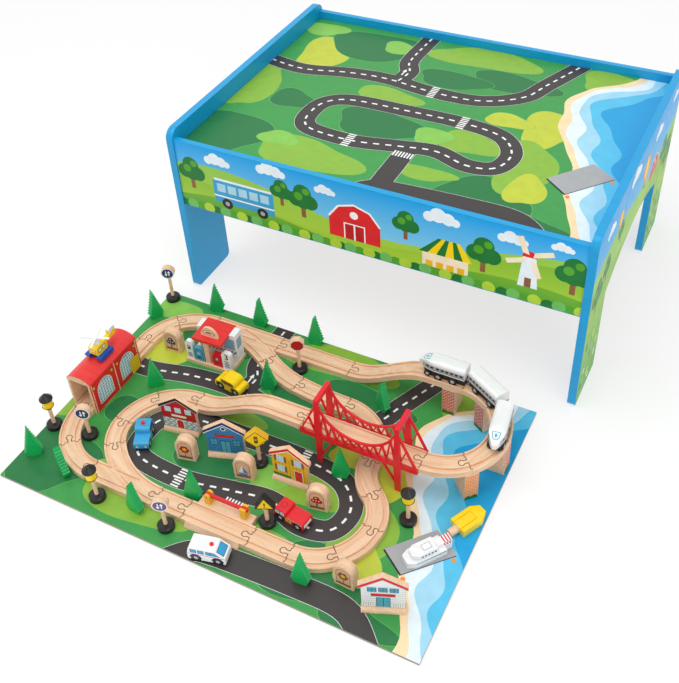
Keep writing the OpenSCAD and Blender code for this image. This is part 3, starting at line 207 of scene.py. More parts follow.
class Finish:
    """A material in the making: a shader with a place for its surface detail."""

    coat_roughness = 0.12
    bump_strength = 0.5

    def __init__(self, name):
        self.material = bpy.data.materials.new(name)
        self.material.use_nodes = True
        self.nodes = self.material.node_tree.nodes
        self.links = self.material.node_tree.links
        self.shader = self.nodes["Principled BSDF"]
        self.place = self.nodes.new("ShaderNodeTexCoord").outputs["Object"]

    def noise(self, scale, detail=2.0, stretch=None, angle=0.0):
        """The value of a noise, stretched along a direction if a stretch is given."""
        place = self.place
        if stretch:
            mapping = self.nodes.new("ShaderNodeMapping")
            mapping.vector_type = "TEXTURE"
            mapping.inputs["Rotation"].default_value = (0, 0, angle)
            mapping.inputs["Scale"].default_value = stretch
            self.links.new(place, mapping.inputs["Vector"])
            place = mapping.outputs["Vector"]
        texture = self.nodes.new("ShaderNodeTexNoise")
        texture.inputs["Scale"].default_value = scale
        texture.inputs["Detail"].default_value = detail
        self.links.new(place, texture.inputs["Vector"])
        return texture.outputs["Fac"]

    def ramp(self, value, low, high, start=0.3, end=0.7):
        """A colour between two as a value goes from start to end."""
        node = self.nodes.new("ShaderNodeValToRGB")
        node.color_ramp.elements[0].position = start
        node.color_ramp.elements[0].color = (*low, 1)
        node.color_ramp.elements[1].position = end
        node.color_ramp.elements[1].color = (*high, 1)
        self.links.new(value, node.inputs["Fac"])
        return node.outputs["Color"]

    def mix(self, factor, a, b):
        """A colour mixed from two by a factor."""
        node = self.nodes.new("ShaderNodeMix")
        node.data_type = "RGBA"
        node.blend_type = "MULTIPLY"
        self.links.new(factor, node.inputs["Factor"])
        self.links.new(a, node.inputs[6])
        self.links.new(b, node.inputs[7])
        return node.outputs[2]

    def height(self):
        """The height of the surface in the object's own frame."""
        node = self.nodes.new("ShaderNodeSeparateXYZ")
        self.links.new(self.place, node.inputs["Vector"])
        return node.outputs["Z"]

    def spread(self, value, start, end, low, high):
        """A value moved from one range to another."""
        node = self.nodes.new("ShaderNodeMapRange")
        for key, number in (("From Min", start), ("From Max", end), ("To Min", low), ("To Max", high)):
            node.inputs[key].default_value = number
        self.links.new(value, node.inputs["Value"])
        return node.outputs["Result"]

    def surface(self, base, roughness, bump=None, depth=0.0, coat=0.0, shine=0.3):
        """Connects the colour, roughness and bump."""
        self.shader.inputs["Specular IOR Level"].default_value = shine
        self.links.new(base, self.shader.inputs["Base Color"])
        self.links.new(roughness, self.shader.inputs["Roughness"])
        self.shader.inputs["Coat Weight"].default_value = coat
        self.shader.inputs["Coat Roughness"].default_value = self.coat_roughness
        if bump:
            node = self.nodes.new("ShaderNodeBump")
            node.inputs["Strength"].default_value = self.bump_strength
            node.inputs["Distance"].default_value = depth
            self.links.new(bump, node.inputs["Height"])
            self.links.new(node.outputs["Normal"], self.shader.inputs["Normal"])
        return self.material


finishes = {}


def kept(name, make):
    """The material of that name, made when it is first asked for."""
    if name not in finishes:
        finishes[name] = make(Finish(name))
    return finishes[name]


def ink(key, fade=None, low=0.0, high=1.0):
    """A printed ink with faint cloudiness, or one that fades upwards from another colour."""
    base = tuple(getattr(paints(), key))

    def make(finish):
        cloud = finish.noise(45, 3)
        if fade:
            under = tuple(getattr(paints(), fade))
            tone = finish.ramp(finish.spread(finish.height(), low, high, 0, 1), under, base, 0, 1)
        else:
            tone = finish.ramp(cloud, tinted(base, 0.94), tinted(base, 1.05))
        paper = finish.noise(1800, 1)
        return finish.surface(tone, finish.spread(cloud, 0.3, 0.7, 0.34, 0.46), paper, 0.00004)

    return kept(f"ink_{key}_{fade}_{low:.2f}" if fade else f"ink_{key}", make)


def painted_wood(key):
    """Satin paint on wood, with the grain showing faintly through."""
    base = tuple(getattr(paints(), key))

    def make(finish):
        grain = finish.noise(1, 4, (0.05, 0.006, 0.006))
        tone = finish.ramp(grain, tinted(base, 0.92), tinted(base, 1.05))
        return finish.surface(tone, finish.spread(grain, 0.3, 0.7, 0.3, 0.42), grain, 0.00012, 0.15)

    return kept(f"painted_{key}", make)


def moulded(key, gloss=0.25):
    """Moulded plastic with a fine orange-peel surface."""
    base = tuple(getattr(paints(), key))

    def make(finish):
        cloud = finish.noise(30, 2)
        peel = finish.noise(700, 2)
        tone = finish.ramp(cloud, tinted(base, 0.95), tinted(base, 1.04))
        return finish.surface(tone, finish.spread(cloud, 0.3, 0.7, gloss, gloss + 0.08), peel, 0.00005, 0.2)

    return kept(f"moulded_{key}", make)


def bare_wood(key, angle=0.0):
    """Sanded wood with long grain and short dark flecks along a direction."""
    light = tuple(getattr(paints(), key))
    dark = tuple(getattr(paints(), f"{key}_dark"))

    def make(finish):
        grain = finish.noise(1, 4, (0.11, 0.007, 0.007), angle)
        fleck = finish.noise(1, 2, (0.012, 0.0011, 0.0011), angle)
        tone = finish.ramp(grain, dark, light, 0.28, 0.62)
        flecks = finish.ramp(fleck, tinted(dark, 1.12), (1, 1, 1), 0.26, 0.42)
        both = finish.mix(finish.spread(grain, 0, 1, 0.5, 0.7), tone, flecks)
        return finish.surface(both, finish.spread(grain, 0.3, 0.7, 0.46, 0.6), grain, 0.00015)

    return kept(f"bare_{key}_{math.degrees(angle):.0f}", make)


def plated(key):
    """Zinc-plated steel with fine brush marks."""
    base = tuple(getattr(paints(), key))

    def make(finish):
        marks = finish.noise(1, 3, (0.02, 0.0004, 0.0004))
        tone = finish.ramp(marks, tinted(base, 0.85), base)
        finish.shader.inputs["Metallic"].default_value = 1.0
        return finish.surface(tone, finish.spread(marks, 0.3, 0.7, 0.28, 0.42), marks, 0.00003)

    return kept(f"plated_{key}", make)


def on_board(x, y, z=0.0):
    """A point over the play board, from its near left corner."""
    low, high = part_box("play_board")
    return Vector((low.x + x * MM, low.y + y * MM, high.z + z * MM))


def directions(pose):
    """The directions ahead and to the left of a pose."""
    h = math.radians(pose[2])
    return Vector((math.cos(h), math.sin(h), 0)), Vector((-math.sin(h), math.cos(h), 0))


def local(pose, point):
    """A point in millimetres ahead, left and up of a pose."""
    ahead, left = directions(pose)
    offset = (point - on_board(pose[0], pose[1])) / MM
    return Vector((offset.dot(ahead), offset.dot(left), offset.z))


def paint(node, base, rules=(), pose=None, poses=None):
    """Gives a node its materials: each rule is a test of a face's middle and normal, and a material.
    The middle is in millimetres from the pose, or from the nearest of several poses."""
    part = frame["nodes"][node]
    part.data.materials.clear()
    part.data.materials.append(base)
    for _, material in rules:
        part.data.materials.append(material)
    for face in part.data.polygons:
        index = 0
        nearest = pose
        if poses:
            nearest = min(poses, key=lambda p: (face.center - on_board(p[0], p[1])).xy.length)
        middle = local(nearest, face.center) if nearest else face.center / MM
        normal = face.normal
        if nearest:
            ahead, left = directions(nearest)
            normal = Vector((normal.dot(ahead), normal.dot(left), normal.z))
        for i, (test, _) in enumerate(rules):
            if test(middle, normal, nearest):
                index = i + 1
        face.material_index = index
    return part


SAME_CORNER = 0.000002
FLAT_ANGLE = 0.4
SHARP_ANGLE = 40


def ease_edges(node, width):
    """Rounds a node's sharp edges with modifiers, after joining its flat triangles."""
    part = frame["nodes"][node]
    weld = part.modifiers.new("join_corners", "WELD")
    weld.merge_threshold = SAME_CORNER
    flat = part.modifiers.new("join_flats", "DECIMATE")
    flat.decimate_type = "DISSOLVE"
    flat.angle_limit = math.radians(FLAT_ANGLE)
    flat.delimit = {"MATERIAL"}
    bevel = part.modifiers.new("ease_edges", "BEVEL")
    bevel.width = width
    bevel.segments = 2
    bevel.limit_method = "ANGLE"
    bevel.angle_limit = math.radians(SHARP_ANGLE)


# Flat outlines, in millimetres

def box_outline(x, y, w, h):
    """A rectangle from its lower left corner."""
    return [(x, y), (x + w, y), (x + w, y + h), (x, y + h)]


def disc(x, y, r, wide=1.0, start=0.0, end=360.0, steps=20):
    """A circle, ellipse or part of one."""
    angles = [math.radians(start + (end - start) * i / steps) for i in range(steps + (end - start < 360))]
    return [(x + r * wide * math.cos(a), y + r * math.sin(a)) for a in angles]


def arched(x, y, w, h):
    """An upright with a half-round head, from its lower left corner."""
    r = w / 2
    return [(x, y), (x + w, y)] + disc(x + r, y + h - r, r, start=0, end=180, steps=10)


def blob(x, y, rx, ry, phase, steps=40):
    """A rounded patch with a wavy edge."""
    points = []
    for i in range(steps):
        a = math.tau * i / steps
        r = 1 + 0.13 * math.sin(3 * a + phase) + 0.08 * math.sin(2 * a - 2 * phase)
        points.append((x + rx * r * math.cos(a), y + ry * r * math.sin(a)))
    return points


def smooth(points, closed=False, steps=8):
    """A smooth curve through points."""
    n = len(points)
    curve = []
    for i in range(n if closed else n - 1):
        if closed:
            a, b, c, d = (points[(i + k) % n] for k in (-1, 0, 1, 2))
        else:
            a, b, c, d = (points[min(n - 1, max(0, i + k))] for k in (-1, 0, 1, 2))
        for j in range(steps):
            t = j / steps
            curve.append(tuple(
                b[k] + 0.5 * t * (c[k] - a[k] + t * (2 * a[k] - 5 * b[k] + 4 * c[k] - d[k]
                                                     + t * (3 * (b[k] - c[k]) + d[k] - a[k])))
                for k in (0, 1)))
    curve.append(curve[0] if closed else tuple(points[-1]))
    return curve


def sides(curve, width):
    """Points to the left and right along a curve."""
    left, right = [], []
    for i, p in enumerate(curve):
        a, b = curve[max(0, i - 1)], curve[min(len(curve) - 1, i + 1)]
        if i in (0, len(curve) - 1) and curve[0] == curve[-1]:
            a, b = curve[-2], curve[1]
        d = math.dist(a, b) or 1.0
        nx, ny = -(b[1] - a[1]) / d, (b[0] - a[0]) / d
        left.append((p[0] + nx * width / 2, p[1] + ny * width / 2))
        right.append((p[0] - nx * width / 2, p[1] - ny * width / 2))
    return left, right


def ribbon(curve, width):
    """The quads of a band along a curve."""
    left, right = sides(curve, width)
    return [[right[i], right[i + 1], left[i + 1], left[i]] for i in range(len(curve) - 1)]


def point_at(curve, distance):
    """The point of a curve at a distance from its start."""
    for a, b in zip(curve, curve[1:]):
        step = math.dist(a, b)
        if distance <= step and step > 0:
            t = distance / step
            return (a[0] + t * (b[0] - a[0]), a[1] + t * (b[1] - a[1]))
        distance -= step
    return curve[-1]


def dashes(curve, width, dash, gap):
    """The quads of a dashed line along a curve."""
    total = sum(math.dist(a, b) for a, b in zip(curve, curve[1:]))
    quads = []
    start = gap / 2
    while start + dash < total:
        piece = [point_at(curve, start), point_at(curve, start + dash / 2), point_at(curve, start + dash)]
        quads += ribbon(piece, width)
        start += dash + gap
    return quads


def clipped(outline, region):
    """The part of an outline inside a convex region that runs anticlockwise."""
    for (ax, ay), (bx, by) in zip(region, region[1:] + region[:1]):
        result = []
        for p, q in zip(outline, outline[1:] + outline[:1]):
            side_p = (bx - ax) * (p[1] - ay) - (by - ay) * (p[0] - ax)
            side_q = (bx - ax) * (q[1] - ay) - (by - ay) * (q[0] - ax)
            if side_p >= 0:
                result.append(p)
            if side_p * side_q < 0:
                t = side_p / (side_p - side_q)
                result.append((p[0] + t * (q[0] - p[0]), p[1] + t * (q[1] - p[1])))
        outline = result
        if len(outline) < 3:
            return []
    return outline


def area(outline):
    """The signed area of an outline."""
    return sum(p[0] * q[1] - q[0] * p[1] for p, q in zip(outline, outline[1:] + outline[:1])) / 2


SMALLEST_PRINT = 0.01


class Print:
    """Thin layers of ink on flat faces, gathered into one piece."""

    steps_apart = 8
    step_apart = 0.1

    def __init__(self, name):
        self.name = name
        self.points = []
        self.faces = []
        self.inks = []
        self.uses = []
        self.regions = None
        self.way = 1
        self.laid = 0
        self.grow(0, 0, 1)

    def face(self, origin, right, rise, regions=None):
        """Prints on the face with that origin and those two directions from now on."""
        self.origin, self.right, self.rise = origin, right, rise
        self.out = right.cross(rise)
        self.regions = regions
        return self

    def side(self, pose, name, reach, z=0.0, regions=None):
        """Prints on a side of what stands at a pose, so many millimetres from its middle."""
        ahead, left = directions(pose)
        right, rise, out = {
            "front": (ahead, UP, -left), "back": (-ahead, UP, left), "nose": (left, UP, ahead),
            "tail": (-left, UP, -ahead), "top": (ahead, left, UP),
        }[name]
        return self.face(on_board(pose[0], pose[1], z) + out * reach * MM, right, rise, regions)

    def both(self, pose, reach, back=None):
        """Prints on the front and then, mirrored, on the back of what stands at a pose."""
        for name, way, out in (("front", 1, reach), ("back", -1, reach if back is None else back)):
            self.side(pose, name, out).way = way
            yield
        self.way = 1

    def grow(self, x, y, size):
        """Lays what follows larger or smaller about a point."""
        self.about, self.size = (x, y), size

    def use(self, tone):
        """The index of a material, or of the ink with that name."""
        material = ink(tone) if isinstance(tone, str) else tone
        if material not in self.inks:
            self.inks.append(material)
        return self.inks.index(material)

    def solid(self, tone, corners):
        """Adds a face between points of the frame."""
        start = len(self.points)
        self.points += corners
        self.faces.append(range(start, start + len(corners)))
        self.uses.append(self.use(tone))

    def lay(self, tone, outline, layer=0):
        """Lays one ink over an outline, in millimetres on the present face.
        Inks of one layer lie minutely apart, so that none of them coincide."""
        step = self.laid % self.steps_apart * self.step_apart
        height = sizes().lift + (layer + step) * sizes().layer
        self.laid += 1
        (x, y), size = self.about, self.size
        outline = [(self.way * (x + (p[0] - x) * size), y + (p[1] - y) * size) for p in outline]
        for region in self.regions or [None]:
            points = clipped(outline, region) if region else outline
            if len(points) < 3 or abs(area(points)) < SMALLEST_PRINT:
                continue
            if area(points) < 0:
                points = points[::-1]
            self.solid(tone, [
                self.origin + self.right * p[0] * MM + self.rise * p[1] * MM + self.out * height
                for p in points])

    def band(self, tone, curve, width, layer=0):
        """Lays one ink along a curve."""
        for quad in ribbon(curve, width):
            self.lay(tone, quad, layer)

    def box(self, tone, x, y, w, h, layer=0):
        """Lays one ink over a rectangle."""
        self.lay(tone, box_outline(x, y, w, h), layer)

    def dot(self, tone, x, y, r, layer=0):
        """Lays one ink over a disc."""
        self.lay(tone, disc(x, y, r), layer)

    def arch(self, tone, x, y, w, h, layer=0):
        """Lays one ink over an upright with a half-round head."""
        self.lay(tone, arched(x, y, w, h), layer)

    def pane(self, rim, glass, x, y, w, h, edge=1.0, layer=0):
        """Lays a rectangle of one ink with a rim of another."""
        self.box(rim, x, y, w, h, layer)
        self.box(glass, x + edge, y + edge, w - 2 * edge, h - 2 * edge, layer + 1)

    def petals(self, tone, x, y, count, reach, r, layer=0):
        """Lays a ring of discs."""
        for k in range(count):
            a = math.tau * k / count
            self.dot(tone, x + reach * math.cos(a), y + reach * math.sin(a), r, layer)

    def build(self, body=ROOT):
        """Makes the piece and lets it ride on a body."""
        mesh = bpy.data.meshes.new(self.name)
        mesh.from_pydata(self.points, [], [list(f) for f in self.faces])
        for material in self.inks:
            mesh.materials.append(material)
        mesh.polygons.foreach_set("material_index", self.uses)
        mesh.update()
        piece = bpy.data.objects.new(self.name, mesh)
        bpy.context.scene.collection.objects.link(piece)
        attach(piece, body)
        return piece


# Play maps: a generic town by the sea

MAP_L = 818
MAP_W = 540
RING_ROAD = [
    (182, 188), (192, 232), (240, 258), (360, 262), (480, 262), (566, 246), (604, 200), (592, 150),
    (540, 138), (470, 158), (400, 148), (310, 132), (226, 136), (192, 152),
]
FRONT_ROAD = [(372, -14), (400, 14), (435, 26), (580, 34), (680, 30), (736, -14)]
TOWN_ROAD = [
    (-10, 342), (80, 330), (180, 350), (270, 356), (380, 342), (480, 346), (556, 388), (586, 450),
    (632, 552),
]
STATION_ROAD = [(292, 352), (300, 396), (282, 440), (286, 550)]
CROSSING_ROAD = [(418, 30), (418, 80), (418, 146)]
GREENS = [
    ("meadow", 60, 70, 90, 70, 0.4), ("lime", 250, 60, 110, 46, 1.7), ("meadow", 600, 60, 84, 60, 2.6),
    ("meadow", 330, 200, 100, 44, 0.9), ("lime", 520, 205, 62, 36, 2.1), ("straw", 90, 400, 58, 66, 1.2),
    ("meadow", 190, 470, 120, 56, 0.2), ("lime", 430, 500, 120, 40, 2.9), ("straw", 640, 300, 54, 60, 0.6),
    ("meadow", 520, 430, 96, 34, 1.5), ("lime", 20, 240, 44, 90, 2.3), ("lime", 700, 500, 60, 40, 0.8),
    ("lime", 640, 170, 58, 76, 1.1), ("straw", 664, 110, 34, 46, 2.4), ("meadow", 120, 220, 46, 34, 2.0),
    ("hill_far", 444, 200, 40, 26, 0.5), ("lime", 300, 300, 70, 26, 1.9), ("meadow", 400, 400, 84, 30, 0.7),
    ("hill_far", 240, 480, 42, 24, 1.4), ("straw", 560, 300, 46, 24, 2.2),
    ("hill_far", 40, 500, 54, 26, 0.1),
    ("meadow", 700, 20, 70, 26, 1.6), ("hill_far", 170, 90, 40, 22, 2.7), ("lime", 480, 90, 60, 18, 0.3),
]
SHORE = [
    (796, -30), (770, 62), (744, 130), (722, 214), (676, 312), (650, 396), (686, 462), (742, 506),
    (766, 570),
]
SEA_BANDS = [
    ("sand", -14, 6, 0.0), ("foam", 2, 7, 0.5), ("shallow", 24, 10, 1.3), ("water", 48, 11, 2.2),
    ("deep", 82, 12, 3.2),
]


def shore(offset, sway, phase):
    """The shoreline moved out to sea by an offset, with waves of its own."""
    def wave(y):
        return math.sin(y / 27 + phase) + 0.5 * math.sin(y / 13.7 + 2.3 * phase)

    return [(x + offset + sway * wave(y), y) for x, y in smooth(SHORE)]


def stacked_greens():
    """Each field with its level: one above those that it covers."""
    spread = 1.2
    levels = []
    for i, field in enumerate(GREENS):
        below = [
            level for level, other in zip(levels, GREENS[:i])
            if abs(field[1] - other[1]) < spread * (field[3] + other[3])
            and abs(field[2] - other[2]) < spread * (field[4] + other[4])]
        levels.append(1 + max(below, default=-1))
    return list(zip(GREENS, levels))


def print_map(sheet, origin, l, w):
    """Prints the town map over a panel."""
    sx, sy = l / MAP_L, w / MAP_W

    def scaled(points):
        return [(x * sx, y * sy) for x, y in points]

    width = sizes().road_width / MM
    dash = sizes().dash / MM
    edge = [box_outline(0, 0, l, w)]
    sheet.face(origin, Vector((1, 0, 0)), Vector((0, 1, 0)), edge)
    sheet.box("grass", 0, 0, l, w, 0)
    fields = stacked_greens()
    for (key, x, y, rx, ry, phase), level in fields:
        sheet.lay("bush", scaled(blob(x, y, rx + 0.9, ry + 0.9, phase)), 1 + 2 * level)
        sheet.lay(key, scaled(blob(x, y, rx, ry, phase)), 2 + 2 * level)
    sea = 4 + 2 * max(level for _, level in fields)
    verge = sea + len(SEA_BANDS)
    for i, (key, offset, sway, phase) in enumerate(SEA_BANDS):
        coast = shore(offset, sway, phase)
        sheet.lay(key, scaled(coast + [(MAP_L + 10, MAP_W + 30), (MAP_L + 10, -30)]), sea + i)
    roads = [smooth(scaled(p)) for p in (CROSSING_ROAD, STATION_ROAD, FRONT_ROAD, TOWN_ROAD)]
    roads.append(smooth(scaled(RING_ROAD), closed=True))
    for i, road in enumerate(roads):
        sheet.band("line_white", road, width + 1.4, verge + i)
    for i, road in enumerate(roads):
        sheet.band("road", road, width, verge + len(roads) + i)
    marks = verge + 2 * len(roads) + 1
    for road in (roads[1], roads[3], roads[4]):
        for quad in dashes(road, 4.0, dash, dash):
            sheet.lay("line_white", quad, marks)
    for x, y, turned in ((418, 126, False), (300, 132, True), (480, 262, True), (380, 342, True)):
        for k in range(-3, 4):
            bar = box_outline(x - 1.6 + 6 * k, y - 8, 3.2, 16)
            if turned:
                bar = box_outline(x - 8, y - 1.6 + 6 * k, 16, 3.2)
            sheet.lay("line_white", scaled(bar), marks + 1)
    arrow = [(-1.5, -12), (1.5, -12), (1.5, 2), (5, 2), (0, 12), (-5, 2), (-1.5, 2)]
    sheet.lay("line_white", scaled([(290 + x, 392 + y) for x, y in arrow]), marks + 1)
    quay = [(688, 156), (732, 124), (800, 196), (752, 226)]
    sheet.lay("black", scaled([(x - 1, y - 3) for x, y in quay]), marks)
    sheet.lay("stone", scaled(quay), marks + 1)
    for x, y in ((738, 118), (798, 184)):
        sheet.lay("orange", scaled(disc(x, y, 4)), marks + 2)


class TRAINTABLE_OT_play_maps(bpy.types.Operator):
    """Print the road maps on the play board and on the table's top"""

    bl_idname = "train_table.play_maps"
    bl_label = "Print Play Maps"

    def execute(self, context):
        for node, body, wood in (("play_board", ROOT, painted_wood("board_edge")),
                                 ("top_panel", "top_panel", bare_wood("pine"))):
            paint(node, wood)
            low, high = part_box(node)
            sheet = Print(f"{node}_print")
            corner = Vector((low.x, low.y, high.z))
            print_map(sheet, corner, (high.x - low.x) / MM, (high.y - low.y) / MM)
            sheet.build(body)
        return {"FINISHED"}


# Table scenery

def tree_print(sheet, x, y, h, layer):
    """A round tree on the scenery."""
    sheet.box("trunk", x - h / 16, y, h / 8, h * 0.45, layer)
    for dx, dy, r in ((-0.2, 0.52, 0.22), (0.2, 0.5, 0.22), (0, 0.74, 0.25), (0, 0.5, 0.24)):
        sheet.dot("leaf", x + dx * h, y + dy * h, r * h, layer + 1)
    for dx, dy, r in ((-0.12, 0.62, 0.12), (0.1, 0.8, 0.1)):
        sheet.dot("hill", x + dx * h, y + dy * h, r * h, layer + 2)


def cloud_print(sheet, x, y, w, layer):
    """A cloud on the scenery."""
    for dx, dy, r in ((-0.3, 0, 0.14), (-0.08, 0.08, 0.2), (0.16, 0.03, 0.17), (0.34, -0.02, 0.11)):
        sheet.dot("cloud", x + dx * w, y + dy * w, r * w, layer)


def hill_print(sheet, key, fade, start, w, base, rise, waves, phase, layer, low, high):
    """A range of hills across the scenery."""
    steps = 60
    below = -400
    crest = [(start + w * i / steps, base + rise * math.sin(waves * i / steps + phase))
             for i in range(steps + 1)]
    sheet.lay(ink(key, fade, low, high), [(start, below), (start + w, below)] + crest[::-1], layer)


def bush_print(sheet, x, y, w, layer):
    """A row of bushes on the scenery."""
    for k, key in enumerate(("leaf", "bush", "hill", "hill_light")):
        sheet.dot(key, x + (k - 1.5) * w / 4, y + (k % 2) * w * 0.05, w * 0.16, layer + k % 2)


def barn_print(sheet, x, y, layer):
    """A red barn with white doors."""
    wall = [
        (x, y), (x + 62, y), (x + 62, y + 26), (x + 50, y + 42), (x + 31, y + 48), (x + 12, y + 42),
        (x, y + 26),
    ]
    sheet.lay("signal_red", wall, layer)
    sheet.band("line_white", [wall[k] for k in (6, 5, 4, 3, 2)], 2.4, layer + 1)
    sheet.box("line_white", x + 18, y, 26, 22, layer + 1)
    for dx in (19.5, 32):
        sheet.box("dark_red", x + dx, y, 10.5, 20.5, layer + 2)
    sheet.dot("line_white", x + 31, y + 34, 5, layer + 1)


def bus_print(sheet, x, y, layer):
    """A blue bus."""
    sheet.box("car_blue", x, y + 6, 78, 30, layer)
    sheet.box("cloud", x + 2, y + 36, 74, 3, layer)
    for k in range(5):
        sheet.box("glass", x + 5 + 14 * k, y + 21, 11, 11, layer + 1)
    sheet.box("line_white", x, y + 14, 78, 2, layer + 1)
    for dx in (16, 62):
        sheet.dot("black", x + dx, y + 6, 7, layer + 1)
        sheet.dot("stone", x + dx, y + 6, 3, layer + 2)


def tent_print(sheet, x, y, layer):
    """A striped market tent."""
    for k in range(6):
        stripe = [(x + 10 * k, y + 18), (x + 10 * k + 10, y + 18), (x + 34 + (k - 2) * 4, y + 40),
                  (x + 30 + (k - 2) * 4, y + 40)]
        sheet.lay("yellow" if k % 2 else "leaf", stripe, layer)
    sheet.box("cream", x + 4, y, 52, 18, layer)
    for k in range(4):
        sheet.box("amber", x + 8 + 12 * k, y, 8, 8, layer + 1)


def mill_print(sheet, x, y, layer):
    """A windmill."""
    sheet.lay("cloud", [(x - 12, y), (x + 12, y), (x + 8, y + 44), (x - 8, y + 44)], layer)
    sheet.lay("signal_red", disc(x, y + 44, 9, start=0, end=180, steps=12), layer + 1)
    for a in (20, 110, 200, 290):
        c, s = math.cos(math.radians(a)), math.sin(math.radians(a))
        sail = [(4, -1), (30, -1), (30, 6), (8, 6)]
        sheet.lay("cream", [(x + p * c - q * s, y + 44 + p * s + q * c) for p, q in sail], layer + 2)
    sheet.box("trunk", x - 4, y, 8, 14, layer + 1)


def balloon_print(sheet, x, y, r, layer):
    """A striped balloon with its basket."""
    sheet.dot("orange", x, y, r, layer)
    sheet.lay("yellow", disc(x, y, r, 0.5), layer + 1)
    skirt = [(x - 0.7 * r, y - 0.7 * r), (x, y - 1.4 * r), (x + 0.7 * r, y - 0.7 * r)]
    sheet.lay("orange", skirt, layer)
    sheet.box("trunk", x - r / 4, y - 1.9 * r, r / 2, r / 3, layer + 1)


def apron_scene(sheet, l, h, low, high):
    """Prints the scenery of an apron."""
    sheet.lay(ink("sky", "haze", low, high), box_outline(0, 0, l, h), 0)
    hill_print(sheet, "hill_far", "hill_light", 0, l, 82, 30, 7.0, 0.9, 1, low, high)
    hill_print(sheet, "hill", "hill_light", 0, l, 62, 34, 5.2, 2.5, 2, low, high)
    hill_print(sheet, "hill_light", "hill", 0, l, 26, 16, 8.6, 0.3, 3, low, high)
    for x, y, w in ((96, 128, 66), (216, 138, 72), (330, 126, 50), (560, 132, 78), (690, 128, 62),
                    (776, 136, 46)):
        cloud_print(sheet, x, y, w, 1)
    for x, y, h_tree in ((32, 50, 74), (236, 66, 60), (282, 52, 76), (492, 66, 64), (640, 40, 78),
                         (800, 44, 80)):
        tree_print(sheet, x, y, h_tree, 4)
    for draw, x, y, size in ((bus_print, 80, 22, 1.75), (barn_print, 336, 30, 1.7),
                             (tent_print, 518, 20, 1.7), (mill_print, 722, 34, 1.5)):
        sheet.grow(x, y, size)
        draw(sheet, x, y, 7)
    sheet.grow(0, 0, 1)
    for x in range(20, int(l), 76):
        bush_print(sheet, x + 14 * math.sin(x), 6, 78, 11)


class TRAINTABLE_OT_table(bpy.types.Operator):
    """Paint the table's panels and print their outer faces"""

    bl_idname = "train_table.table"
    bl_label = "Finish Table"

    arch_half = 186.0
    arch_spring = 186.0
    arch_crown = 226.0
    columns = 62
    margin = 1.5

    def panel_regions(self, w, h):
        """Upright strips that fill the end panel's outline."""
        rise = self.arch_crown - self.arch_spring
        radius = (self.arch_half ** 2 + rise ** 2) / (2 * rise)
        m = self.margin
        corner = 22

        def bottom(x, inside):
            if not inside:
                return m
            return self.arch_crown - radius + math.sqrt(radius ** 2 - x ** 2) + m

        def top(x):
            over = max(0.0, abs(x) - (w / 2 - corner))
            return h - m - corner + math.sqrt(max(0.0, corner ** 2 - over ** 2))

        stops = [-w / 2 + m + (w / 2 - m - self.arch_half - m) * i / 6 for i in range(7)]
        middle = [-self.arch_half + 2 * self.arch_half * i / self.columns for i in range(self.columns + 1)]
        strips = [(a, b, False) for a, b in zip(stops, stops[1:])]
        strips += [(-self.arch_half - m, -self.arch_half, True)]
        strips += [(a, b, True) for a, b in zip(middle, middle[1:])]
        strips += [(self.arch_half, self.arch_half + m, True)]
        strips += [(-b, -a, False) for a, b in zip(stops, stops[1:])]
        regions = []
        for a, b, inside in strips:
            fit = self.arch_half if inside else w
            xa, xb = max(-fit, min(fit, a)), max(-fit, min(fit, b))
            regions.append([(a, bottom(xa, inside)), (b, bottom(xb, inside)), (b, top(b)), (a, top(a))])
        return regions

    def end_scene(self, sheet, w, h, low, high):
        """Prints the scenery of an end panel."""
        half = w / 2
        sheet.lay(ink("sky", "haze", low, high), box_outline(-half, 0, w, h), 0)
        hill_print(sheet, "hill_far", "hill_light", -half, w, 292, 20, 6.0, 0.4, 1, low, high)
        hill_print(sheet, "hill", "hill_light", -half, w, 250, 26, 5.0, 2.2, 2, low, high)
        hill_print(sheet, "hill_light", "hill", -half, w, 150, 30, 4.0, 1.0, 3, low, high)
        for x, y, size in ((-220, 352, 60), (-60, 362, 80), (120, 350, 66), (250, 360, 50)):
            cloud_print(sheet, x, y, size, 1)
        for x, y, size in ((-262, 200, 78), (-214, 236, 60), (216, 214, 74), (268, 170, 88),
                           (-130, 262, 50)):
            tree_print(sheet, x, y, size, 4)
        balloon_print(sheet, 40, 318, 26, 4)
        balloon_print(sheet, -150, 330, 17, 4)
        barn_print(sheet, 96, 246, 4)
        for x, y in ((-270, 40), (-230, 90), (-262, 130), (232, 50), (272, 96), (240, 128)):
            bush_print(sheet, x, y, 54, 6)
        for x, y in ((-280, 70), (-214, 62), (-240, 24), (286, 60), (214, 88), (252, 24)):
            sheet.petals("line_white", x, y, 5, 4, 2.6, 8)
            sheet.dot("orange", x, y, 2.6, 9)

    def execute(self, context):
        for node in ("left_end_panel", "right_end_panel", "front_apron", "back_apron"):
            paint(node, painted_wood("edge_blue"))
            ease_edges(node, sizes().panel_edge)
        for node, way in (("front_apron", -1), ("back_apron", 1)):
            low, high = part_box(node)
            l, h = (high.x - low.x) / MM, (high.z - low.z) / MM
            corner = Vector((low.x, low.y, low.z)) if way < 0 else Vector((high.x, high.y, low.z))
            sheet = Print(f"{node}_print")
            m = self.margin
            sheet.face(corner, Vector((-way, 0, 0)), UP, [box_outline(0.2, m, l - 0.4, h - 2 * m)])
            apron_scene(sheet, l, h, low.z, high.z)
            sheet.build()
        for node, way in (("left_end_panel", -1), ("right_end_panel", 1)):
            low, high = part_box(node)
            w, h = (high.y - low.y) / MM, (high.z - low.z) / MM
            middle = Vector((low.x if way < 0 else high.x, (low.y + high.y) / 2, low.z))
            sheet = Print(f"{node}_print")
            sheet.face(middle, Vector((0, way, 0)), UP, self.panel_regions(w, h))
            self.end_scene(sheet, w, h, low.z, high.z)
            sheet.build()
        return {"FINISHED"}


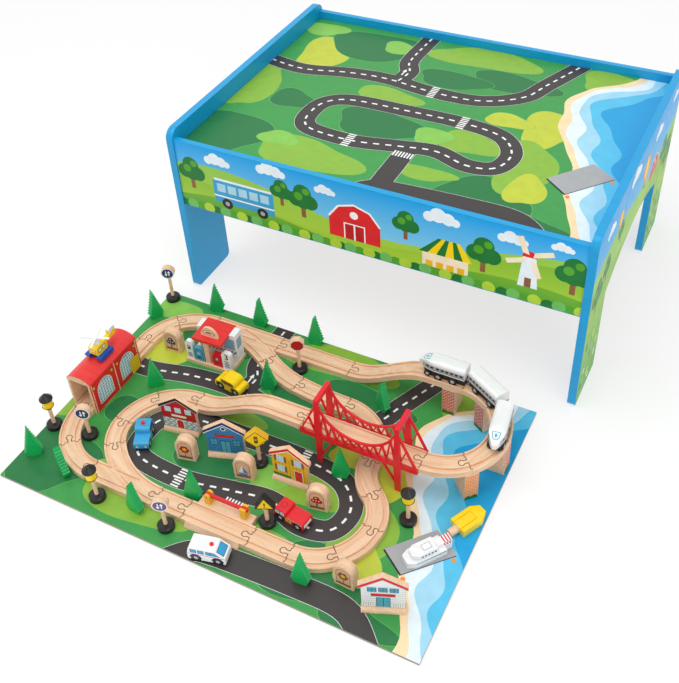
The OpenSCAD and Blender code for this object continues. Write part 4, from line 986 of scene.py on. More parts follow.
class TRAINTABLE_OT_fittings(bpy.types.Operator):
    """Finish the strips and fittings under the table's top"""

    bl_idname = "train_table.fittings"
    bl_label = "Finish Fittings"

    def execute(self, context):
        for node in ("ledger_strips", "dowels"):
            paint(node, bare_wood("pine"))
        paint("cross_rails", bare_wood("pine", math.pi / 2))
        for node in ("cam_bolts", "cam_locks", "ledger_screws", "coupling_magnets"):
            paint(node, plated("steel"))
        return {"FINISHED"}


# Railway

CORNER_DIGITS = 5
SHORTEST_EDGE = 0.00002
TOP_NORMAL = 0.9


def corner_key(point):
    """A corner's place, rounded so that corners that meet are the same."""
    return tuple(round(c, CORNER_DIGITS) for c in point)


def separate_pieces(mesh):
    """Lists the faces of each separate solid of a mesh."""
    keys = {}
    parent = []

    def top(i):
        while parent[i] != i:
            parent[i] = parent[parent[i]]
            i = parent[i]
        return i

    corner = []
    for v in mesh.vertices:
        key = corner_key(v.co)
        if key not in keys:
            keys[key] = len(parent)
            parent.append(len(parent))
        corner.append(keys[key])
    for face in mesh.polygons:
        first = top(corner[face.vertices[0]])
        for v in face.vertices[1:]:
            parent[top(corner[v])] = first
    groups = {}
    for face in mesh.polygons:
        groups.setdefault(top(corner[face.vertices[0]]), []).append(face.index)
    return list(groups.values())


def lay_grain(node, key, turns=8):
    """Gives each separate piece of a node wood whose grain runs along it."""
    mesh = frame["nodes"][node].data
    mesh.materials.clear()
    for k in range(turns):
        mesh.materials.append(bare_wood(key, math.pi * k / turns))
    for group in separate_pieces(mesh):
        points = [mesh.polygons[i].center for i in group]
        middle = sum(points, Vector()) / len(points)
        xx = sum((p.x - middle.x) ** 2 for p in points)
        yy = sum((p.y - middle.y) ** 2 for p in points)
        xy = sum((p.x - middle.x) * (p.y - middle.y) for p in points)
        angle = 0.5 * math.atan2(2 * xy, xx - yy)
        index = round(angle / (math.pi / turns)) % turns
        for i in group:
            mesh.polygons[i].material_index = index


TRACKS = ("curved_tracks", "straight_tracks", "switch_tracks", "ramp_tracks", "crossing_track")


def top_edges():
    """Lists the edges round the tops of the track pieces, each with its piece, its ends, the way into
    the piece and the way up."""
    edges = []
    piece = 0
    for node in TRACKS:
        mesh = frame["nodes"][node].data
        for group in separate_pieces(mesh):
            piece += 1
            owners = {}
            for i in group:
                face = mesh.polygons[i]
                if face.normal.z < TOP_NORMAL:
                    continue
                corners = [mesh.vertices[v].co for v in face.vertices]
                for a, b in zip(corners, corners[1:] + corners[:1]):
                    key = frozenset((corner_key(a), corner_key(b)))
                    owners.setdefault(key, []).append((a, b, face))
            for users in owners.values():
                if len(users) == 1 and (users[0][1] - users[0][0]).length > SHORTEST_EDGE:
                    a, b, face = users[0]
                    along = (b - a).normalized()
                    edges.append((piece, a, b, face.normal.cross(along), face.normal))
    return edges


class TRAINTABLE_OT_tracks(bpy.types.Operator):
    """Finish the wooden tracks with grain along each piece, and painted shade as thin dark lines where the
    pieces meet
    """

    bl_idname = "train_table.tracks"
    bl_label = "Finish Tracks"

    step = 1.5
    reach = 1.3
    line = 0.55

    def execute(self, context):
        for node in TRACKS:
            lay_grain(node, "beech")
        parts = []
        for piece, a, b, inward, up in top_edges():
            count = max(1, math.ceil((b - a).length / (self.step * MM)))
            for k in range(count):
                parts.append((piece, a.lerp(b, k / count), a.lerp(b, (k + 1) / count), inward, up))
        tree = KDTree(len(parts))
        for i, (_, a, b, _, _) in enumerate(parts):
            tree.insert((a + b) / 2, i)
        tree.balance()
        # Painted shade: a thin dark line on each top edge that meets another piece, standing in for the
        # shade in the narrow gap between them.
        sheet = Print("track_gap_shade")
        for piece, a, b, inward, up in parts:
            near = tree.find_range((a + b) / 2, self.reach * MM)
            if any(parts[i][0] != piece for _, i, _ in near):
                lift = up * sizes().lift
                side = inward * self.line * MM
                sheet.solid("seam", [a + lift, b + lift, b + side + lift, a + side + lift])
        sheet.build()
        return {"FINISHED"}


class TRAINTABLE_OT_risers(bpy.types.Operator):
    """Print bricks on the ends of the risers"""

    bl_idname = "train_table.risers"
    bl_label = "Finish Risers"

    length = 25.0
    height = 65.0
    width = 40.0
    rows = 13
    across = 3

    def execute(self, context):
        paint("track_risers", bare_wood("beech", math.pi / 2))
        sheet = Print("riser_print")
        course = (self.height - 10) / self.rows
        brick = self.length / self.across
        for i, pose in enumerate(RISERS):
            key = "brick_amber" if i == 3 else "brick"
            for name in ("front", "back"):
                sheet.side(pose, name, self.width / 2)
                sheet.regions = [box_outline(0.6 - self.length / 2, 0.5, self.length - 1.2, self.height - 2)]
                sheet.box("mortar", -self.length / 2, 0, self.length, self.height, 0)
                for row in range(self.rows):
                    shift = brick / 2 if row % 2 else 0
                    for k in range(-1, self.across + 1):
                        x = -self.length / 2 + k * brick + shift
                        face = box_outline(x + 0.5, 8 + row * course, brick - 1, course - 0.9)
                        sheet.lay(key, face, 1)
                for k in range(5):
                    x = -self.length / 2 + 5.5 * k + 1.5
                    sheet.dot("leaf", x, 3 + 2 * (k % 2), 4.5, 2)
        sheet.build()
        return {"FINISHED"}


class TRAINTABLE_OT_bridge(bpy.types.Operator):
    """Finish the moulded bridge"""

    bl_idname = "train_table.bridge"
    bl_label = "Finish Bridge"

    def execute(self, context):
        paint("suspension_bridge", moulded("bridge_red", 0.28))
        return {"FINISHED"}


def paint_wheels(node, tyre, hub):
    """Gives a wheelset its tyres and its pale hubs, seen from its joint."""
    joint = next(j for j in frame["joints"] if j["child"] == node)
    spot, axis = Vector(joint["pos_m"]), Vector(joint["axis"])
    part = frame["nodes"][node]
    tyre_from, hub_to, proud = 0.9, 0.5, 0.0001
    reach = max((v.co - spot).cross(axis).length for v in part.data.vertices)
    rim = max((v.co - spot).dot(axis) for v in part.data.vertices
              if (v.co - spot).cross(axis).length > tyre_from * reach)
    part.data.materials.clear()
    part.data.materials.append(tyre)
    part.data.materials.append(hub)
    for face in part.data.polygons:
        offset = face.center - spot
        near = offset.cross(axis).length < hub_to * reach
        face.material_index = int(near and abs(offset.dot(axis)) > rim + proud)
    caps = Print(f"{node}_caps")
    for way in (1, -1):
        out = axis * way
        caps.face(spot + out * rim, UP.cross(out), UP)
        caps.lay(hub, disc(0, 0, hub_to * reach / MM, steps=24))
    caps.build(node)


class TRAINTABLE_OT_train(bpy.types.Operator):
    """Finish the train and print its windows"""

    bl_idname = "train_table.train"
    bl_label = "Finish Train"

    engine_half = 46.0
    coach_half = 38.0
    body_half = 15.0
    body_low = 17.0
    nose_l = 36.0
    roof_z = 40.0
    side_arc = 60.8333
    roof_arc = 55.5588
    screen_half = 7.4
    screen_from = 15
    screen_span = 15

    def side_windows(self, sheet, pose, half, nose):
        """Prints the window row and the bands along both sides of a car."""
        low = TRAIN_RAIL_Z + self.body_low
        back, front = -half + 0.4, half - (self.nose_l if nose else 0.4)
        for _ in sheet.both(pose, self.body_half):
            sheet.box("steel", back, low, front - back, 13)
            sheet.box("line_white", back, low + 0.4, front - back, 1.8, 1)
            sheet.box("black", back, low + 3.4, front - back, 0.9, 1)
            x = back + 3
            while x + 6 < front:
                sheet.box("black", x, low + 6.4, 6, 4.6, 1)
                x += 9
        if nose:
            for way in (1, -1):
                for key, z, h, start, end, lift in (
                        ("steel", 0, 13, 0, 27, 0.06), ("line_white", 0.4, 1.8, 0, 35, 0.08),
                        ("black", 3.4, 0.9, 0, 35, 0.08), ("black", 6.4, 4.6, 4, 10, 0.08),
                        ("black", 6.4, 4.6, 13, 19, 0.08)):
                    self.nose_strip(sheet, pose, way, key, (low + z, low + z + h), (start, end), lift)

    def nose_strip(self, sheet, pose, way, key, levels, span, lift, steps=8):
        """Lays a strip on one curved side of an engine's nose."""
        ahead, left = directions(pose)
        start = self.engine_half - self.nose_l
        r = self.side_arc

        def point(k, z):
            a = math.asin((span[0] + (span[1] - span[0]) * k / steps) / r)
            across = way * (self.body_half - r + (r + lift) * math.cos(a))
            along = start + (r + lift) * math.sin(a)
            return on_board(pose[0], pose[1], z) + (ahead * along + left * across) * MM

        for k in range(steps):
            low, high = levels
            corners = [point(k, low), point(k + 1, low), point(k + 1, high), point(k, high)]
            sheet.solid(key, corners if way < 0 else corners[::-1])

    def windscreen(self, sheet, pose):
        """Lays the windscreen on an engine's long nose."""
        start = self.engine_half - self.nose_l
        r = self.roof_arc
        ahead, left = directions(pose)
        foot = on_board(pose[0], pose[1], TRAIN_RAIL_Z)

        def point(angle, y, lift):
            a = math.radians(angle)
            return foot + (ahead * (start + (r + lift) * math.sin(a)) + left * y
                           + UP * (self.roof_z - r + (r + lift) * math.cos(a))) * MM

        for key, rim, lift in (("teal", 0.0, 0.1), ("foam", 1.5, 0.16), ("teal", 5.4, 0.22)):
            steps = 10
            lines = []
            for k in range(steps + 1):
                t = k / steps
                half = (self.screen_half - rim) * math.sqrt(1 - 0.85 * t ** 3)
                a = self.screen_from + 0.8 * rim + (self.screen_span - 1.6 * rim) * t
                lines.append((point(a, half, lift), point(a, -half, lift)))
            for (p, q), (r0, s0) in zip(lines, lines[1:]):
                sheet.solid(key, [p, q, s0, r0])

    def execute(self, context):
        for node in ("front_engine_body", "coach_body", "rear_engine_body"):
            paint(node, moulded("silver", 0.22))
        paint("train_chassis", moulded("black", 0.4))
        sheet = Print("train_print")
        for pose, half, nose in ((FRONT_ENGINE, self.engine_half, True), (COACH, self.coach_half, False),
                                 (REAR_ENGINE, self.engine_half, True)):
            self.side_windows(sheet, pose, half, nose)
            if nose:
                self.windscreen(sheet, pose)
        sheet.build()
        for joint in frame["joints"]:
            if "wheelset" in joint["child"]:
                paint_wheels(joint["child"], moulded("black", 0.4), moulded("steel", 0.3))
        return {"FINISHED"}


# Road vehicles

CAR_SIDE = 14.0


def wheel_arches(sheet, base, key):
    """Prints a dark ring round each wheel."""
    axle_z = 8.3
    for x in (-base / 2, base / 2):
        ring = disc(x, axle_z, 10.8, start=0, end=180, steps=14)
        inner = disc(x, axle_z, 9.4, start=0, end=180, steps=14)
        for k in range(len(ring) - 1):
            sheet.lay(key, [inner[k], ring[k], ring[k + 1], inner[k + 1]])


class TRAINTABLE_OT_vehicles(bpy.types.Operator):
    """Paint the road vehicles and print their windows"""

    bl_idname = "train_table.vehicles"
    bl_label = "Finish Road Vehicles"

    def taxi(self, sheet):
        """Prints a side of the taxi."""
        for x in (-15, -5.5, 4):
            sheet.box("black", x - 0.9, 20.5, 9.8, 8.8)
            sheet.box("trunk", x + 0.4, 21.8, 7.2, 6.2, 1)
        for k in range(9):
            sheet.box("black", -16 + 3.6 * k, 15.2 + 1.8 * (k % 2), 1.8, 1.8)
        wheel_arches(sheet, 36, "black")

    def blue_car(self, sheet):
        """Prints a side of the blue car."""
        for x in (-23, -11):
            sheet.pane("black", "navy", x, 20.5, 10, 9, 0.9)
        sheet.box("line_white", -26, 17, 52, 1.2)
        wheel_arches(sheet, 33, "black")

    def fire_engine(self, sheet):
        """Prints a side of the fire engine."""
        for x, w in ((8, 8), (18, 9)):
            sheet.pane("line_white", "glass", x, 18.5, w, 8.5, 1.2)
        sheet.box("line_white", -29, 18.6, 33, 1.2)
        sheet.box("black", -7.5, 8, 15, 9.2)
        for x in (-6.5, 0.5):
            sheet.box("amber", x, 9, 6, 7.2, 1)
        wheel_arches(sheet, 36, "black")

    def ambulance(self, sheet):
        """Prints a side of the ambulance."""
        for x in (-27, -14):
            sheet.pane("navy", "car_blue", x, 22.5, 11, 9)
        sheet.lay("navy", [(0, 22.5), (25, 22.5), (15, 31.5), (0, 31.5)])
        sheet.lay("car_blue", [(1, 23.5), (22, 23.5), (14.2, 30.5), (1, 30.5)], 1)
        sheet.box("navy", 8, 22.5, 1, 9, 2)
        sheet.box("signal_red", -32, 18.6, 64, 1.2)
        wheel_arches(sheet, 38, "navy")

    def execute(self, context):
        # Painted shade: the inner walls of the wheel wells are painted black for the shade inside them.
        def well_shade(p, n, _):
            return abs(p.y) < CAR_SIDE - 1 and abs(n.y) > 0.9

        jobs = (("taxi_body", TAXI, "taxi_yellow", self.taxi, None),
                ("blue_car_body", BLUE_CAR, "car_blue", self.blue_car, 32.7),
                ("fire_engine_body", FIRE_ENGINE, "signal_red", self.fire_engine, None),
                ("ambulance_body", AMBULANCE, "white", self.ambulance, 34.7))
        sheet = Print("vehicle_print")
        for node, pose, key, draw, beacon in jobs:
            rules = [(well_shade, painted_wood("black"))]
            if beacon:
                rules.append((lambda p, n, _, low=beacon: p.z > low, moulded("signal_red")))
            paint(node, painted_wood(key), rules, pose)
            for _ in sheet.both(pose, CAR_SIDE):
                draw(sheet)
        self.fronts(sheet)
        sheet.build()
        return {"FINISHED"}

    def fronts(self, sheet):
        """Prints the roofs, windscreens and lights."""
        sheet.side(FIRE_ENGINE, "top", 29)
        sheet.dot("dark_red", 17, 0, 6.5)
        sheet.dot("signal_red", 17, 0, 4.6, 1)
        sheet.side(FIRE_ENGINE, "nose", 29)
        sheet.pane("line_white", "glass", -11, 18, 22, 7.5)
        sheet.side(FIRE_ENGINE, "tail", 30)
        sheet.box("line_white", -10, 9.5, 20, 7.5)
        ahead, left = directions(AMBULANCE)
        slope = (UP * 13 - ahead * 16).normalized()
        foot = on_board(AMBULANCE[0], AMBULANCE[1]) + (ahead * 31.9 + UP * 20.8) * MM
        sheet.face(foot, left, slope)
        sheet.pane("navy", "car_blue", -11, 2.5, 22, 15)
        for pose, reach in ((TAXI, 31), (BLUE_CAR, 28)):
            sheet.side(pose, "nose", reach)
            for y in (-8, 8):
                sheet.dot("cream", y, 12.5, 2.2)


class TRAINTABLE_OT_helicopter(bpy.types.Operator):
    """Finish the helicopter on the shed's roof"""

    bl_idname = "train_table.helicopter"
    bl_label = "Finish Helicopter"

    def execute(self, context):
        low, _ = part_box("helicopter_body")
        foot = (low.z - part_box("play_board")[1].z) / MM
        deck = foot + 6
        cabin_top = foot + 29.2
        paint("helicopter_body", moulded("yellow"), [
            (lambda p, n, _: p.z > cabin_top, moulded("white")),
            (lambda p, n, _: p.z < foot + 9.05, moulded("float_blue")),
            # Painted shade: the faces between the floats, under the body, are black for the shade that falls
            # there.
            (lambda p, n, _: deck - 0.1 < p.z < foot + 9.05 and abs(p.y) < 7.2, moulded("black", 0.4)),
        ], HELICOPTER)
        sheet = Print("helicopter_print")
        for _ in sheet.both(HELICOPTER, 10):
            for x, w in ((-9, 8), (2, 9)):
                sheet.pane("black", "cream", x, foot + 15, w, 9)
        sheet.side(HELICOPTER, "nose", 15)
        sheet.box("black", -7.5, foot + 16.5, 15, 5.6)
        sheet.box("cream", -6.5, foot + 17.3, 13, 4, 1)
        sheet.build()
        paint("helicopter_rotor", moulded("white", 0.35))
        return {"FINISHED"}


class TRAINTABLE_OT_boats(bpy.types.Operator):
    """Finish the ferry and the barge"""

    bl_idname = "train_table.boats"
    bl_label = "Finish Boats"

    ferry_half = 15.5
    deck_half = 12.5
    aft_half = 7.5

    def execute(self, context):
        paint("ferry", painted_wood("white"))
        sheet = Print("ferry_print")
        stripes = (-40, -35, -30)
        for _ in sheet.both(FERRY, self.ferry_half):
            sheet.box("navy", -27, 10, 55, 1.4)
        for _ in sheet.both(FERRY, self.deck_half):
            for k in range(5):
                sheet.box("black", -10 + 6 * k, 17, 3.4, 3.4)
        for _ in sheet.both(FERRY, self.aft_half):
            for x in stripes:
                sheet.lay("signal_red", [(x, 15), (x + 2, 15), (x + 5, 22), (x + 3, 22)])
        sheet.side(FERRY, "top", 22)
        for x in stripes:
            sheet.box("signal_red", x, -7.5, 2.2, 15)
        sheet.side(FERRY, "top", 24)
        sheet.pane("stone", "white", -6, -6, 16, 12)
        sheet.build()
        paint("barge", moulded("yellow", 0.3), [
            (lambda p, n, _: p.x < -28.3, bare_wood("beech")),
            (lambda p, n, _: -31.2 < p.x < -28.1 and abs(p.y) < 8.2 and p.z < 16.2 and abs(n.x) < 0.5,
             bare_wood("pine")),
        ], BARGE)
        return {"FINISHED"}


# Buildings

class TRAINTABLE_OT_shed(bpy.types.Operator):
    """Finish the engine shed"""

    bl_idname = "train_table.shed"
    bl_label = "Finish Engine Shed"

    half_l = 71.0
    outer = 26.5
    height = 74.0

    def wall(self, sheet):
        """Prints windows, pilasters and lamps on the shed's outer walls."""
        for name in ("front", "back"):
            sheet.side(SHED, name, self.outer)
            wall = box_outline(0.4 - self.half_l, 0.4, 2 * self.half_l - 0.8, self.height - 0.8)
            sheet.lay("signal_red", wall)
            for x in (-self.half_l + 3, -1.2, self.half_l - 5.5):
                sheet.box("cream", x, 0.4, 2.5, self.height - 1, 1)
                for k in range(12):
                    sheet.box("signal_red", x, 3 + 6 * k, 2.5, 2, 2)
            for x in (-54, 14):
                sheet.arch("cream", x - 1.5, 12, 43, 53, 1)
                sheet.arch("pane", x, 13.5, 40, 50, 2)
                for k in range(1, 6):
                    low = 46 - 3 * (k in (1, 5))
                    sheet.box("line_white", x + 6.7 * k - 0.8, 13.5, 1.6, low, 3)
                for k in range(1, 7):
                    inset = 3.2 if k == 6 else 0
                    bar = box_outline(x + inset, 12.7 + 7 * k, 40 - 2 * inset, 1.6)
                    sheet.lay("line_white", bar, 3)
            for x in (-62, -8.5, 9, 62):
                sheet.dot("black", x, 62, 4.4, 3)
                sheet.dot("amber", x, 62, 3.4, 4)
        sheet.side(SHED, "front", self.outer)
        sheet.box("trunk", 41, 1, 28, 38, 5)
        for k in range(6):
            sheet.box("yellow", 42, 2 + 6.1 * k, 26, 5.1, 6)

    def execute(self, context):
        raw = bare_wood("beech", math.pi / 2)
        paint("engine_shed_walls", raw)
        paint("engine_shed_roof", raw, [
            (lambda p, n, _: n.z > -0.5 and abs(n.x) < 0.5, painted_wood("roof_red"))], SHED)
        sheet = Print("shed_print")
        self.wall(sheet)
        sheet.build()
        return {"FINISHED"}


class TRAINTABLE_OT_fuel_station(bpy.types.Operator):
    """Finish the fuel station and its canopy"""

    bl_idname = "train_table.fuel_station"
    bl_label = "Finish Fuel Station"

    base_h = 8.0
    pump_front = 25.0
    shop_ends = (-36.0, 50.0)
    shop_front = 2.0
    shop_back = 26.0
    canopy_top = 76.0
    sign_front = 17.5
    sign_x = 5.0
    pumps = (
        (-51, 16, 46, "white"), (-34, 24, 34, "teal"), (9, 21, 34, "signal_red"), (31.5, 20, 44, "white"),
    )

    def fronts(self, sheet):
        """Prints the pumps and the boards."""
        sheet.side(FUEL_STATION, "front", self.pump_front)
        low = self.base_h
        for (x, w, h, key), shade in zip(self.pumps, ("stone", "navy", "dark_red", "stone")):
            if key == "white":
                continue
            sheet.arch(shade, x + 3, low + 4, w - 6, h - 7)
            sheet.arch(key, x + 4.2, low + 5, w - 8.4, h - 9.2, 1)
            sheet.pane(shade, "glass", x + 7, low + 16, w - 14, 8, layer=2)
            sheet.box(shade, x + 7, low + 7, w - 14, 5, 2)
        x = self.pumps[0][0]
        sheet.box("black", x + 4.5, low + 24, 5.5, 12)
        sheet.box("white", x + 5.6, low + 30.5, 3.3, 4, 1)
        sheet.box("black", x + 11, low + 25, 1.2, 9)
        sheet.box("stone", x + 3, low + 4, 10, 12)
        x = self.pumps[3][0]
        for y, r in ((36.5, 4), (30.5, 4.4)):
            sheet.lay("black", disc(x + 10, low + y, r, steps=24), 0)
            sheet.lay("white", disc(x + 9.2, low + y, r - 2, steps=24), 1)
        sheet.box("white", x + 5, low + 29, 3.4, 9, 2)
        for k in range(4):
            sheet.box("navy", x + 5, low + 6 + 4.6 * k, 10, 2)

    def shop(self, sheet):
        """Prints the shop's windows and its chequered band."""
        for _ in sheet.both(FUEL_STATION, -self.shop_front, self.shop_back):
            for x in (-33, -6, 21):
                sheet.pane("stone", "pane", x, 37, 26, 28, 1.5)
            for k in range(21):
                sheet.box("black", self.shop_ends[0] + 1 + 4 * k, 29 - 4 * (k % 2), 4, 4)
        middle = (self.shop_front + self.shop_back) / 2
        for name, way, reach in (("nose", 1, self.shop_ends[1]), ("tail", -1, -self.shop_ends[0])):
            sheet.side(FUEL_STATION, name, reach)
            sheet.pane("stone", "pane", way * middle - 8.5, 38, 17, 26, 1.5)

    def execute(self, context):
        rules = [(lambda p, n, _: p.z < self.base_h + 0.01, bare_wood("beech")),
                 (lambda p, n, _: -8.5 < p.x < 3.5 and p.y < -15 and p.z > self.base_h, bare_wood("beech"))]
        for x, w, _, key in self.pumps:
            rules.append((lambda p, n, _, x=x, w=w: x - 0.3 < p.x < x + w + 0.3 and p.y < -15.5
                          and p.z > self.base_h + 0.1, painted_wood(key)))
        paint("fuel_station", painted_wood("white"), rules, FUEL_STATION)
        paint("fuel_canopy", painted_wood("roof_red"), [
            (lambda p, n, _: p.z > self.canopy_top + 0.05, bare_wood("beech"))], FUEL_STATION)
        sheet = Print("fuel_station_print")
        self.fronts(sheet)
        self.shop(sheet)
        sheet.side(FUEL_STATION, "front", self.sign_front)
        for key, r, wide, layer in (("trunk", 6.6, 2.1, 0), ("cream", 5.4, 2.2, 1), ("trunk", 2.6, 3.2, 2)):
            sheet.lay(key, disc(self.sign_x, self.canopy_top + 11, r, wide, steps=28), layer)
        sheet.build()
        return {"FINISHED"}


class TRAINTABLE_OT_houses(bpy.types.Operator):
    """Print the toy houses"""

    bl_idname = "train_table.houses"
    bl_label = "Finish Houses"

    half_w = 34.0
    half_t = 4.5
    eave = 66.0
    ridge = 92.0
    over = 5.0
    foot = 10.5

    def shell(self, sheet, wall, edge, trim):
        """Prints the wall and the roof's edge."""
        inner = self.half_w - 0.3
        outer = self.half_w + self.over - 0.5
        sheet.lay(wall, [
            (-inner, self.foot), (inner, self.foot), (inner, self.eave - 6), (outer, self.eave - 7),
            (outer, self.eave - 0.5), (0, self.ridge - 0.7), (-outer, self.eave - 0.5),
            (-outer, self.eave - 7), (-inner, self.eave - 6)])
        line = [(-outer, self.eave - 4), (0, self.ridge - 4.4), (outer, self.eave - 4)]
        for k, (key, width, drop) in enumerate(((edge, 6.4, 0), (trim, 2.0, 3.6))):
            for a, b in ((0, 1), (1, 2)):
                (x0, y0), (x1, y1) = line[a], line[b]
                sheet.lay(key, [(x0, y0 - width / 2 - drop), (x1, y1 - width / 2 - drop),
                                     (x1, y1 + width / 2 - drop), (x0, y0 + width / 2 - drop)], 3 + k)

    def window(self, sheet, x, y, w, h, rim, glass):
        """Prints a window with a cross bar."""
        sheet.pane(rim, glass, x, y, w, h, layer=4)
        sheet.box(rim, x + w / 2 - 0.4, y + 1, 0.8, h - 2, 6)
        sheet.box(rim, x + 1, y + h / 2 - 0.4, w - 2, 0.8, 6)

    def boards(self, sheet, key, step, upright):
        """Prints the joints of the boarding."""
        k = 1
        while k * step < (2 * self.half_w if upright else self.eave - self.foot):
            line = box_outline(-self.half_w + k * step, self.foot, 0.6, self.eave - self.foot - 6)
            if not upright:
                line = box_outline(-self.half_w + 0.5, self.foot + k * step, 2 * self.half_w - 1, 0.6)
            sheet.lay(key, line, 2)
            k += 1

    def board_sign(self, sheet, y, w, key):
        """Prints a bare name board."""
        sheet.box("black", -w / 2 - 0.7, y - 0.7, w + 1.4, 7.4, 4)
        sheet.box(key, -w / 2, y, w, 6, 5)

    def red_house(self, sheet):
        """Prints the red house."""
        self.shell(sheet, "dark_red", "black", "stone")
        sheet.box("stone", -self.half_w + 0.3, self.foot, 2 * self.half_w - 0.6, 24, 2)
        for row in range(4):
            for k in range(6):
                sheet.box("foam", -33 + 11.5 * k + 4 * (row % 2), 12.5 + 5.8 * row, 7, 4, 3)
        for x in (-26, -6, 14):
            self.window(sheet, x, 52, 12, 13, "line_white", "glass")
        self.board_sign(sheet, 40, 30, "cream")
        sheet.arch("line_white", -8, self.foot, 16, 24, 4)
        sheet.arch("signal_red", -6.5, self.foot, 13, 22.5, 5)

    def blue_house(self, sheet):
        """Prints the blue house."""
        self.shell(sheet, "house_blue", "navy", "line_white")
        self.boards(sheet, "navy", 4.6, False)
        for x in (-28, 14):
            self.window(sheet, x, 30, 14, 16, "navy", "teal")
        self.board_sign(sheet, 52, 34, "signal_red")
        sheet.box("navy", -9, self.foot, 18, 32, 4)
        for x in (-8, 0.5):
            sheet.box("teal", x, self.foot, 7.5, 30.5, 5)
        sheet.dot("line_white", 0, 74, 5, 4)
        sheet.dot("navy", 0, 74, 3.6, 5)

    def yellow_house(self, sheet):
        """Prints the yellow house."""
        self.shell(sheet, "amber", "signal_red", "line_white")
        self.boards(sheet, "trunk", 6.8, True)
        for x, y in ((-24, 50), (10, 50), (-24, 24)):
            sheet.box("trunk", x - 5, y, 24, 16, 3)
            self.window(sheet, x, y, 14, 16, "line_white", "glass")
        sheet.box("line_white", 8, self.foot, 17, 28, 4)
        sheet.box("signal_red", 9.2, self.foot, 14.6, 26.8, 5)
        for k in range(6):
            sheet.dot("leaf", -30 + 5.6 * k, 13.4, 3.8, 6)

    def white_house(self, sheet):
        """Prints the white house."""
        self.shell(sheet, "white", "signal_red", "stone")
        self.boards(sheet, "stone", 5.4, False)
        for x in (-24, -7, 10):
            self.window(sheet, x, 51, 14, 12, "navy", "teal")
        self.board_sign(sheet, 40, 36, "signal_red")
        sheet.box("navy", -11, self.foot, 22, 26, 4)
        for x in (-10, 0.5):
            sheet.box("teal", x, self.foot, 9.5, 25, 5)
        for k in range(6):
            for x in (-33, 13):
                sheet.box("line_white", x + 3.6 * k, self.foot, 2.2, 11, 6)
                sheet.box("stone", x + 3.6 * k + 2.2, self.foot, 0.7, 11, 5)

    def execute(self, context):
        paint("toy_houses", bare_wood("beech"))
        sheet = Print("house_print")
        fronts = (self.red_house, self.blue_house, self.yellow_house, self.white_house)
        for pose, draw in zip(HOUSES, fronts):
            for name in ("front", "back"):
                sheet.side(pose, name, self.half_t)
                draw(sheet)
        sheet.build()
        ease_edges("toy_houses", sizes().toy_edge)
        return {"FINISHED"}


class TRAINTABLE_OT_blocks(bpy.types.Operator):
    """Print small pictures on the arched blocks"""

    bl_idname = "train_table.blocks"
    bl_label = "Finish Picture Blocks"

    half_t = 9.0

    def execute(self, context):
        paint("picture_blocks", bare_wood("beech"))
        sheet = Print("picture_print")
        marks = ("navy", "dark_red", "house_blue", "dark_red", "trunk")
        for i, (pose, mark) in enumerate(zip(BLOCKS, marks)):
            for name in ("front", "back"):
                sheet.side(pose, name, self.half_t)
                sheet.arch("trunk", -13, 6, 26, 42)
                sheet.arch("beech_dark", -12, 7, 24, 40, 1)
                sheet.box("trunk", -12, 7, 24, 5, 2)
                if i in (0, 3):
                    sheet.box("trunk", -1.6, 11, 3.2, 14, 3)
                    for x, y, r in ((-5, 26, 5.4), (5, 26, 5.4), (0, 33, 6), (0, 26, 5)):
                        sheet.dot(mark, x, y, r, 4)
                        sheet.dot("cream", x - 1, y + 1, r / 4, 5)
                elif i in (1, 4):
                    sheet.petals(mark, 0, 30, 6, 6, 3.8, 3)
                    sheet.dot("amber", 0, 30, 4, 4)
                    sheet.box("trunk", -0.8, 11, 1.6, 14, 3)
                else:
                    sheet.lay(mark, [(-9, 17), (9, 17), (6, 11), (-6, 11)], 3)
                    sheet.lay("foam", [(-0.5, 19), (-0.5, 39), (-9, 19)], 3)
                    sheet.lay(mark, [(0.8, 19), (9, 19), (0.8, 35)], 3)
        sheet.build()
        ease_edges("picture_blocks", sizes().toy_edge)
        return {"FINISHED"}


class TRAINTABLE_OT_trees(bpy.types.Operator):
    """Finish the moulded trees"""

    bl_idname = "train_table.trees"
    bl_label = "Finish Trees"

    def execute(self, context):
        paint("trees", moulded("tree_green", 0.3))
        return {"FINISHED"}


